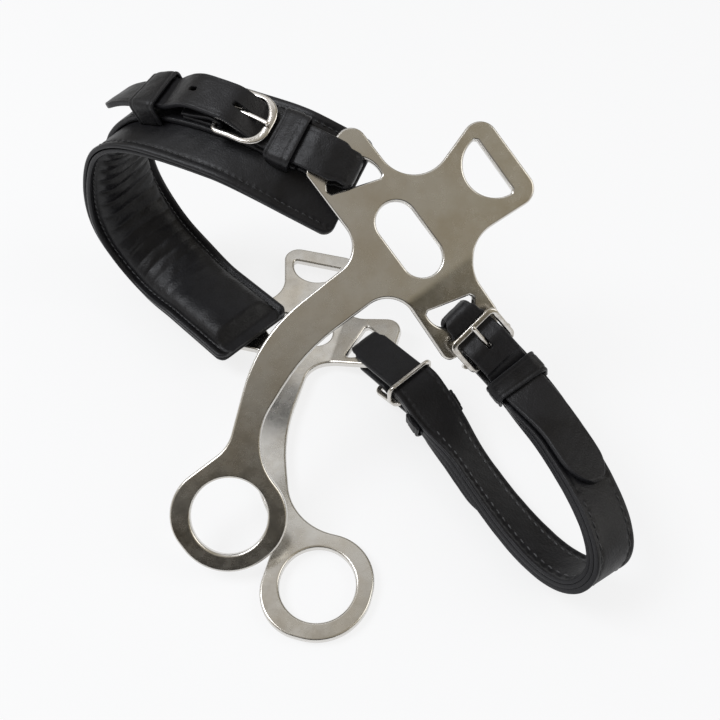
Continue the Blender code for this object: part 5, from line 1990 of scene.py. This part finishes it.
    def fastening(self, side: Side) -> Fastening:
        """Return the strap end at one cheek.

        Args:
            side: The cheek's side.

        Returns:
            The strap end.
        """
        far = side is Side.FAR
        end = End(self.route, side, self.placing)
        plate_low = self.strap_top + LOOP_CLEARANCE
        inner = self.strap_low + self.strap / 2
        outer = plate_low + 2 * HALF_PLATE + LOOP_CLEARANCE + self.strap / 2
        lying = self.strap_top + TOUCH_GAP + self.strap / 2 + 0.1 * MM
        front, heel = self.keeper_at + self.keeper_length / 2 + 3 * MM, self.heel
        held = lying if far else lying + 3.2 * MM
        bulge = 0.04 * MM if far else 0.4 * MM
        tip = ((116 * MM, lying, 0, False),) if far else (
            (self.runner_at + self.runner_length / 2 + 2 * MM, held + 0.4 * MM, 30 * MM, False),
            (126.5 * MM, lying + 7.5 * MM, 0, False))
        sizes = StrapEnd(
            thickness=self.strap, width=18.0 * MM, fold=10.5 * MM, full_at=9 * MM,
            slot_height=plate_low + HALF_PLATE, front=front, heel=heel, front_corner=9.0 * MM,
            chape_end=heel + 18.0 * MM, tongue_slot=(front + 6.5 * MM, heel - 2.2 * MM),
            slot_low=self.strap_top + 0.2 * MM,
            path=((self.strap_start - TOUCH_GAP, inner, 0, False), (0.0, inner, 3.2 * MM, False),
                  (0.0, outer + bulge, 3.2 * MM, False), (12 * MM, outer + 3 * bulge, 14 * MM, False),
                  (20 * MM, outer, 12 * MM, False),
                  (front - 6.5 * MM, lying, 12 * MM, False), (front + 3.5 * MM, lying, 9 * MM, False),
                  (heel - 7.5 * MM, 1.7 * MM, 11 * MM, True), (heel + 12 * MM, 2.6 * MM, 22 * MM, True),
                  (self.runner_at - self.runner_length / 2 - 2.9 * MM, held, 10 * MM, False), *tip),
            slot_cover=0.0 if far else 4.8 * MM, tip=(7 * MM, 2.4), holes=(heel + 12 * MM,),
            folds=((36 * MM, 5 * MM, 0.07 * MM),),
        )
        shift: Profile = (lambda s: self.shift(self.route.length - s)) if far else self.shift
        buckle = BuckleShape(front=(2.1 * MM, 1.1 * MM), rail=(1.3 * MM, 1.2 * MM),
                             heel=(1.25 * MM, 1.25 * MM), square=0.75)
        return Fastening(side.value + "_nose", end, lambda s: self.strap_top, sizes, shift, self.finishes,
                         buckle, self.body, seed=2.0 if far else 0.7)

    def build_keepers(self, fastening: Fastening) -> None:
        """Build the fixed keeper and the sliding one over a strap end.

        Args:
            fastening: The strap end that they go over.
        """
        foot = self.backing_top + 1.5 * TOUCH_GAP
        inner_half = self.strap_width / 2 + 0.8 * MM
        slide_room = 0.8 * MM if fastening.end.far else 0.0
        name = fastening.name

        def top(room: float) -> Profile:
            """Return the keeper's top heights, with room over the billet."""
            return lambda s: height_at(fastening.path, s) + fastening.half * 1.12 + room

        def low(room: float) -> Profile:
            """Return the keeper's foot heights, with room over the backing."""
            return lambda s: np.full(s.shape, foot + room)

        fixed = build_loop(name + "_fixed_keeper", fastening.end, self.keeper_at,
                           LoopShape(inner_half, self.keeper_length), low(0.0), top(TOUCH_GAP),
                           fastening.shift, self.finishes.strap, fastening.seed)
        carry(fixed, self.body, "black_leather", name + "_keeper")
        sliding = build_loop(name + "_sliding_keeper", fastening.end, self.runner_at,
                             LoopShape(inner_half + 0.2 * MM, self.runner_length), low(slide_room),
                             top(0.5 * MM), fastening.shift, self.finishes.strap, fastening.seed + 4)
        carry(sliding, name + "_runner", "black_leather", name + "_runner")

    def build(self) -> None:
        """Build the noseband and both its strap ends."""
        carry(self.build_outer(), self.body, "black_leather", "pad_backing")
        lining = carry(self.build_lining(), self.body, "black_leather", "pad_lining")
        carry(self.build_filling(), self.body, "pad_foam", "pad_filling")
        carry(self.build_strap(), self.body, "black_leather", "noseband_strap")
        self.build_seams()
        for side in Side:
            fastening = self.fastening(side)
            fastening.build()
            self.build_keepers(fastening)


# The curb strap


@dataclass
class CurbStrap:
    """The curb strap: three stitched layers, two buckled ends, and wire loops round its inner face."""

    route: Route
    placing: Placing
    finishes: Finishes
    width: float = 22.5 * MM
    lining: float = 1.7 * MM
    filler: float = 1.3 * MM
    leather: float = 2.2 * MM
    billet: float = 2.6 * MM
    near_start: float = 22.6 * MM
    far_start: float = 38.0 * MM
    lift_run: float = 20.0 * MM
    keeper_from: float = 15.0 * MM
    keeper_length: float = 11.0 * MM
    seam_from: float = 30.4 * MM
    lap: float = 77.4 * MM
    loop_wire: float = 1.1 * MM
    stitching: Stitching = Stitching(2.6 * MM, pitch=4.2 * MM, length=3.3 * MM, radius=0.4 * MM,
                                     groove=0.55 * MM)
    body: str = "curb_strap"

    def __post_init__(self) -> None:
        """Find the heights of the layers."""
        self.whole = End(self.route, Side.NEAR, self.placing)
        self.inner_top = -HALF_PLATE - LOOP_CLEARANCE
        self.inner_low = self.inner_top - self.billet
        self.lining_top = self.inner_low + self.lining
        self.filler_low = self.lining_top + TOUCH_GAP
        self.filler_top = self.filler_low + self.filler
        self.leather_low = self.filler_top + TOUCH_GAP
        self.leather_top = self.leather_low + self.leather
        self.full_lift = -(self.inner_low + self.leather_top) / 2

    def lift(self, stations: Array) -> Array:
        """Return how far the layers are moved out to lie on the route's middle."""
        inside = np.minimum(stations - self.near_start, self.route.length - self.far_start - stations)
        return self.full_lift * smooth_step(inside / self.lift_run)

    def build_layer(self, name: str, width: float, low: float, high: float, face: int,
                    material: bpy.types.Material, seed: float) -> bpy.types.Object:
        """Build one layer, stitched on the face named by a sign.

        Args:
            name: The layer's name.
            width: Its width.
            low: Height of its lower face.
            high: Height of its upper face.
            face: The stitched face: 1 outer, -1 inner, 0 none.
            material: The finish.
            seed: Shifts its unevenness.

        Returns:
            The layer.
        """
        section = strap_section(width, high - low, 0.35 * MM if face else 0.1 * MM, 0.7 * MM)
        relief = StitchedRelief(width / 2, self.stitching, (face,) if face else (), border=0.2 * MM,
                                swell=0.25 * MM if face > 0 else 0.0, seed=seed)
        return build_band(name, self.whole, (self.near_start, self.route.length - self.far_start), section,
                          lambda s: (low + high) / 2 + self.lift(s), lambda s: 0 * s, relief, material,
                          0.8 * MM, draw_in=None if face else self.hem_room)

    def hem_room(self, stations: Array) -> Array:
        """Return how far the middle layer's edges come in for the hems of the two keepers.

        Args:
            stations: Stations along the whole strap.

        Returns:
            How far the edges come in.
        """
        middle = self.keeper_from + self.keeper_length / 2
        near = np.abs(stations - self.near_start - middle)
        far = np.abs(self.route.length - stations - self.far_start - middle)
        past = np.minimum(near, far) - self.keeper_length / 2 - 0.6 * MM
        return 2.4 * MM * (1 - smooth_step(past / (0.8 * MM)))

    def build_seams(self) -> None:
        """Lay the stitches along both edges of both faces."""
        inset = self.width / 2 - self.stitching.inset
        sunk = self.stitching.groove * 0.55
        for word, side in (("upper", 1.0), ("lower", -1.0)):
            for face, first, level, outward, thread in (
                    ("inner", self.seam_from, self.inner_low + sunk, -1.0, self.finishes.pale_thread),
                    ("outer", self.lap + 2.6 * MM, self.leather_top - sunk, 1.0, self.finishes.thread)):
                span = (self.near_start + first, self.route.length - self.far_start - first)
                place = side * (inset - (1.9 * MM if outward < 0 else 0.0))
                row = build_stitches(f"curb_{face}_{word}_stitches", self.whole, span,
                                     lambda s, x=place: np.full(s.shape, x),
                                     lambda s, h=level: h + self.lift(s), self.stitching, outward, thread)
                carry(row, self.body, "waxed_thread", f"curb_{face}_{word}_seam")

    def fastening(self, side: Side) -> Fastening:
        """Return the strap end at one cheek.

        Args:
            side: The cheek's side.

        Returns:
            The strap end.
        """
        far = side is Side.FAR
        inner = (self.inner_low + self.inner_top) / 2
        outer = HALF_PLATE + LOOP_CLEARANCE + self.billet / 2
        lying = self.leather_top + self.full_lift + 2 * TOUCH_GAP + self.billet / 2
        start = self.far_start if far else self.near_start
        end = End(self.route, side, self.placing)
        heel = start + 2.4 * MM
        front = heel - 16.8 * MM
        sizes = StrapEnd(
            thickness=self.billet, width=19.5 * MM, fold=12.0 * MM, full_at=8 * MM, slot_height=0.0,
            front=front, heel=heel, front_corner=2.5 * MM, chape_end=heel + 9.5 * MM,
            tongue_slot=(front + 5.2 * MM, heel - 0.6 * MM), slot_low=2 * MM,
            slot_cover=0.0 if far else 4.4 * MM, tip=(13 * MM, 1.9),
            path=((start - TOUCH_GAP, inner, 0, False), (0.0, inner, 3.0 * MM, False),
                  (0.0, outer, 3.0 * MM, False), (front + 3 * MM, outer, 8 * MM, False),
                  (heel - 7.2 * MM, 0.9 * MM, 5 * MM, True), (heel + 5.5 * MM, 0.6 * MM, 9 * MM, True),
                  (start + 20.4 * MM, lying + 0.2 * MM, 20 * MM, False), (start + self.lap, lying, 0, False)),
        )
        buckle = BuckleShape(front=(1.35 * MM, 1.3 * MM), rail=(1.3 * MM, 1.3 * MM),
                             heel=(1.25 * MM, 1.25 * MM), square=0.5)

        def body_top(s: float) -> float:
            """Return the height of the outer leather at a station."""
            return self.leather_top + float(self.lift(np.array([end.station(max(s, start))]))[0])

        return Fastening(side.value + "_curb", end, body_top, sizes, lambda s: 0 * s, self.finishes, buckle,
                         self.body, seed=6.0 if far else 8.0)

    def build_wire_loop(self, fastening: Fastening) -> bpy.types.Object:
        """Build the wire loop that hangs from the buckle's rails round the inner face of the strap.

        Args:
            fastening: The strap end that it belongs to.

        Returns:
            The wire loop.
        """
        sizes = fastening.sizes
        half = self.width / 2 + 0.5 * MM + self.loop_wire
        s = sizes.heel - 4 * MM
        share = (s - sizes.front) / (sizes.heel - sizes.front)
        rail = fastening.front_height + (fastening.heel_height - fastening.front_height) * share
        high = rail - fastening.wire - 2 * TOUCH_GAP
        low = self.inner_low - TOUCH_GAP - self.loop_wire - 0.3 * MM
        corners = [(half, high, 0), (half, low, 3 * MM), (-half, low, 3 * MM), (-half, high, 0)]
        line = resample(rounded_outline(corners, closed=False), 0.6 * MM)
        leaning = s + 3 * MM * (high - line[:, 1]) / (high - low)
        points = fastening.end.place(leaning, line[:, 0], line[:, 1])
        size = np.full(len(line), self.loop_wire)
        up = fastening.end.direction(s, (1, 0, 0))
        return build_wire(fastening.name + "_wire_loop", points, up, size, size, 0.8, self.finishes.nickel,
                          False)

    def build_keeper(self, fastening: Fastening) -> bpy.types.Object:
        """Build the keeper over the billet, whose hems are sewn in between the two leathers.

        Args:
            fastening: The strap end that it goes over.

        Returns:
            The keeper.
        """
        start = self.far_start if fastening.end.far else self.near_start
        shape = LoopShape(self.width / 2 + 0.4 * MM, self.keeper_length, thickness=1.3 * MM,
                          corner=3.0 * MM)
        return build_loop(fastening.name + "_fixed_keeper", fastening.end,
                          start + self.keeper_from + self.keeper_length / 2, shape,
                          lambda s: self.filler_low + self.lift(fastening.end.station(s)),
                          lambda s: height_at(fastening.path, s) + fastening.half * 1.12 + TOUCH_GAP,
                          lambda s: 0 * s, self.finishes.strap, fastening.seed)

    def build(self) -> None:
        """Build the curb strap and both its ends."""
        finishes = self.finishes
        swell = 0.25 * MM
        layers = (
            ("curb_inner_leather", self.width, self.inner_low, self.lining_top, -1, finishes.curb_lining,
             "lining"),
            ("curb_middle_layer", self.width + 0.1 * MM, self.filler_low - swell, self.filler_top + swell, 0,
             finishes.strap, "filler"),
            ("curb_outer_leather", self.width, self.leather_low, self.leather_top, 1, finishes.curb, "outer"),
        )
        for k, (name, width, low, high, face, material, node) in enumerate(layers):
            made = self.build_layer(name, width, low, high, face, material, float(k))
            carry(made, self.body, "black_leather", "curb_" + node)
        self.build_seams()
        for side in Side:
            fastening = self.fastening(side)
            fastening.build()
            carry(self.build_wire_loop(fastening), self.body, "buckle_nickel", fastening.name + "_loop")
            carry(self.build_keeper(fastening), self.body, "black_leather", fastening.name + "_keeper")


# The studio


@dataclass(frozen=True)
class Lamp:
    """A soft lamp: where it hangs, what it points at, its size and its power."""

    name: str
    at: tuple[float, float, float]
    size: tuple[float, float]
    power: float
    colour: tuple[float, float, float] = (1.0, 1.0, 1.0)
    aim: tuple[float, float, float] = (0.0, 0.0, 0.05)


@dataclass
class Studio:
    """A white table under soft lamps and a glowing canopy that paints the reflections, and the camera at the
    photograph's place.
    """

    placing: Placing
    at: tuple[float, float, float] = (0.0, 0.0, 320.35)
    right: tuple[float, float, float] = (0.99920525, 0.03063669, 0.0255004)
    down: tuple[float, float, float] = (0.03986072, -0.76798262, -0.63922908)
    focal: float = 773.65
    floor_reach: float = 6.0
    floor_drop: float = 0.4 * MM
    floor_glow: float = 0.80
    air: tuple[float, float, float] = (0.42, 0.42, 0.43)
    canopy_radius: float = 2.4
    canopy_rim: float = 9.0
    canopy_steps: tuple[int, int] = (96, 48)
    # Levels of the painted reflection by direction: dark behind the camera, brighter elsewhere.
    painted_reflection_levels: tuple[tuple[float, float], ...] = (
        (-0.82, 0.03), (-0.76, 0.06), (-0.69, 0.26), (-0.58, 0.45), (-0.42, 0.43), (0.2, 0.44),
    )
    lamps: tuple[Lamp, ...] = (
        Lamp("key lamp", (-0.80, 0.0, 1.10), (0.6, 0.6), 8.5, (0.96, 0.99, 1.05)),
        Lamp("fill lamp", (0.95, 0.0, 0.80), (0.8, 0.8), 3.5),
    )

    def build_camera(self) -> None:
        """Place the camera."""
        data = bpy.data.cameras.new("camera")
        data.sensor_width = SENSOR_WIDTH
        data.lens = self.focal / IMAGE_SIZE * SENSOR_WIDTH
        data.clip_start, data.clip_end = 0.01, 20.0
        camera = bpy.data.objects.new("camera", data)
        bpy.context.scene.collection.objects.link(camera)
        right = Vector(self.placing.direction(np.array(self.right))).normalized()
        up = -Vector(self.placing.direction(np.array(self.down))).normalized()
        back = right.cross(up)
        turn = Matrix((right, up, back)).transposed().to_4x4()
        at = self.placing.world(np.array(self.at) * MM)
        camera.matrix_world = Matrix.Translation(Vector(at)) @ turn
        bpy.context.scene.camera = camera

    def build_floor(self) -> None:
        """Lay the pale table, whose shadows stay soft against its white."""
        nodes = Nodes("white_table")
        reach = self.floor_reach
        points = np.array([(-reach, -reach, 0), (reach, -reach, 0), (reach, reach, 0), (-reach, reach, 0)])
        floor = add_mesh("table", points, [[0, 1, 2, 3]], nodes.material)
        floor.location.z = -self.floor_drop
        where = nodes.place()
        tone = nodes.mix(nodes.noise(where, 3.0, 2.0), (0.86, 0.86, 0.86), (0.88, 0.88, 0.88))
        nodes.link(tone, nodes.shader.inputs["Base Color"])
        nodes.set(Roughness=0.9, Specular_IOR_Level=0.0)
        glow = nodes.add("Emission", Strength=1.0)
        glow.inputs["Color"].default_value = (1, 1, 1, 1)
        path = nodes.add("LightPath")
        seen = path.outputs["Is Camera Ray"]
        for kind in MIRRORED_RAYS:
            seen = nodes.math("MAXIMUM", seen, path.outputs[kind])
        share = nodes.math("MULTIPLY", seen, self.floor_glow)
        blend = nodes.add("MixShader")
        nodes.link(share, blend.inputs[0])
        nodes.link(nodes.shader.outputs[0], blend.inputs[1])
        nodes.link(glow.outputs[0], blend.inputs[2])
        nodes.link(blend.outputs[0], nodes.tree.nodes["Material Output"].inputs["Surface"])

    def build_world(self) -> None:
        """Make the air: white to the camera and to gloss under the canopy's rim, dimmer as light."""
        world = bpy.data.worlds.new("studio")
        bpy.context.scene.world = world
        world.use_nodes = True
        tree = world.node_tree
        background = tree.nodes["Background"]
        path = tree.nodes.new("ShaderNodeLightPath")
        seen = path.outputs["Is Camera Ray"]
        for kind in MIRRORED_RAYS:
            most = tree.nodes.new("ShaderNodeMath")
            most.operation = "MAXIMUM"
            tree.links.new(seen, most.inputs[0])
            tree.links.new(path.outputs[kind], most.inputs[1])
            seen = most.outputs[0]
        tone = tree.nodes.new("ShaderNodeMix")
        tone.data_type = "RGBA"
        tree.links.new(seen, tone.inputs["Factor"])
        tone.inputs[6].default_value = (*self.air, 1)
        tone.inputs[7].default_value = (1, 1, 1, 1)
        tree.links.new(tone.outputs[2], background.inputs["Color"])
        background.inputs["Strength"].default_value = 1.0

    def painted_reflection_colour(self, ways: Array) -> Array:
        """Return the canopy's painted reflection colour in directions: a painted dark reflection behind the
        camera, with a painted bright window opposite.

        Args:
            ways: Unit directions from the middle of the table, in rows.

        Returns:
            The colours, in rows.
        """
        x, y, z = ways[:, 0], ways[:, 1], ways[:, 2]
        places, tones = zip(*self.painted_reflection_levels)
        behind = np.interp(y, places, tones)
        # Painted reflection: a bright window opposite the camera and a warm dark tone behind it.
        high = smooth_step((z - 0.60) / 0.10)
        window = smooth_step((y - 0.27) / 0.12) * high * smooth_step((0.30 - x) / 0.32)
        low = 1 - 0.45 * smooth_step((y - 0.3) / 0.2) * (1 - high)
        right = smooth_step((x - 0.12) / 0.14)
        tint = np.array((1.0, 0.93, 0.81)) - right[:, None] * np.array((0.0, 0.03, 0.12))
        warm = (behind * low * (1 - 0.12 * right))[:, None] * tint
        return warm + (1.0 - warm) * window[:, None]

    def build_canopy(self) -> None:
        """Hang a glowing canopy over the table, whose colours are painted reflections that gloss mirrors in
        place of the white air.

        The camera doesn't see it, and it casts neither diffuse light nor shadow.
        """
        nodes = Nodes("canopy_painted_reflection_glow")
        # The canopy glows though it is no lamp: its colours are painted reflections.
        glow = nodes.add("Emission", Strength=1.0)
        nodes.link(nodes.add("Attribute", attribute_name="tone").outputs["Color"], glow.inputs["Color"])
        nodes.link(glow.outputs[0], nodes.tree.nodes["Material Output"].inputs["Surface"])
        sides, rings = self.canopy_steps
        around = np.linspace(0, 2 * math.pi, sides, endpoint=False)
        up = np.radians(np.linspace(self.canopy_rim, 89.5, rings))
        a, e = np.meshgrid(around, up)
        ways = np.column_stack([(np.cos(e) * np.cos(a)).ravel(), (np.cos(e) * np.sin(a)).ravel(),
                                np.sin(e).ravel()])
        faces = [[i * sides + j, i * sides + (j + 1) % sides, (i + 1) * sides + (j + 1) % sides,
                  (i + 1) * sides + j] for i in range(rings - 1) for j in range(sides)]
        faces.append([(rings - 1) * sides + j for j in range(sides)])
        canopy = add_mesh("canopy", ways * self.canopy_radius, faces, nodes.material)
        tones = np.column_stack([self.painted_reflection_colour(ways), np.ones(len(ways))])
        canopy.data.attributes.new("tone", "FLOAT_COLOR", "POINT").data.foreach_set("color", tones.ravel())
        for kind in ("camera", "diffuse", "shadow", "transmission"):
            setattr(canopy, "visible_" + kind, False)

    def build_lamps(self) -> None:
        """Hang the lamps."""
        for lamp in self.lamps:
            data = bpy.data.lights.new(lamp.name, "AREA")
            data.shape = "RECTANGLE"
            data.size, data.size_y = lamp.size
            data.energy = lamp.power
            data.color = lamp.colour
            item = bpy.data.objects.new(lamp.name, data)
            bpy.context.scene.collection.objects.link(item)
            item.location = lamp.at
            item.rotation_mode = "QUATERNION"
            item.rotation_quaternion = (Vector(lamp.aim) - Vector(lamp.at)).to_track_quat("-Z", "Y")

    def build(self) -> None:
        """Build the studio."""
        self.build_camera()
        self.build_floor()
        self.build_world()
        self.build_canopy()
        self.build_lamps()
        bpy.context.scene.view_settings.view_transform = "Standard"


# The whole


NOSE_ARMS = {
    Side.NEAR: Arm(math.radians(206.1), 5.4 * MM, -1.4 * MM, 2.2 * MM, 27 * MM, 0.242, 10 * MM, 39.8 * MM,
                   19 * MM, 5.4 * MM),
    Side.FAR: Arm(math.radians(150.1), 6.4 * MM, 0.0, 22.9 * MM, 15.7 * MM, 0.415, 53.7 * MM, 39.8 * MM,
                  19 * MM, 1.2 * MM),
}
NOSE_APEX = Apex((-122.8, 326.6, 91.0), (-0.44, 0.18, -0.88), (0.50, 0.87, 0.02))
CURB_ARMS = {
    Side.NEAR: Arm(math.radians(8.1), 5 * MM, 1.6 * MM, 2 * MM, 28 * MM, 0.703, 22 * MM, 28 * MM, 37 * MM),
    Side.FAR: Arm(math.radians(-37.2), 5 * MM, 0.0, 2 * MM, 43.4 * MM, -0.644, 13 * MM, 35.9 * MM, 50 * MM),
}
CURB_APEX = Apex((100.6, 137.6, 28.1), (-0.42, -0.12, -0.90), (0.79, 0.57, -0.21))


def main() -> None:
    """Dress the hackamore."""
    finishes = Finishes.make()
    nose_height = -(2 * TOUCH_GAP + Noseband.backing + Noseband.strap + LOOP_CLEARANCE + HALF_PLATE)
    nose_frames = {side: arm_frame(CHEEKS[side], NOSE_ARMS[side], Hole.NOSE, nose_height,
                                   NOSE_ARMS[side].strap_shift) for side in Side}
    curb_frames = {side: arm_frame(CHEEKS[side], CURB_ARMS[side], Hole.CURB, 0.0, 0.0) for side in Side}
    bars = [nose_frames[side].bar + nose_frames[side].along * BAR_TO_HINGE for side in Side]
    placing = Placing((bars[0] + bars[1]) / 2)
    for side, body in ((Side.FAR, "far_plate"), (Side.NEAR, "near_plate")):
        carry(CHEEKS[side].build(placing, finishes.steel), body, "cheek_steel", side.value + "_cheek")
    Noseband(Route(nose_frames, NOSE_ARMS, NOSE_APEX), placing, finishes).build()
    CurbStrap(Route(curb_frames, CURB_ARMS, CURB_APEX), placing, finishes).build()
    Studio(placing).build()


if __name__ == "__main__":
    logging.basicConfig(level=logging.INFO, format="%(message)s")
    main()
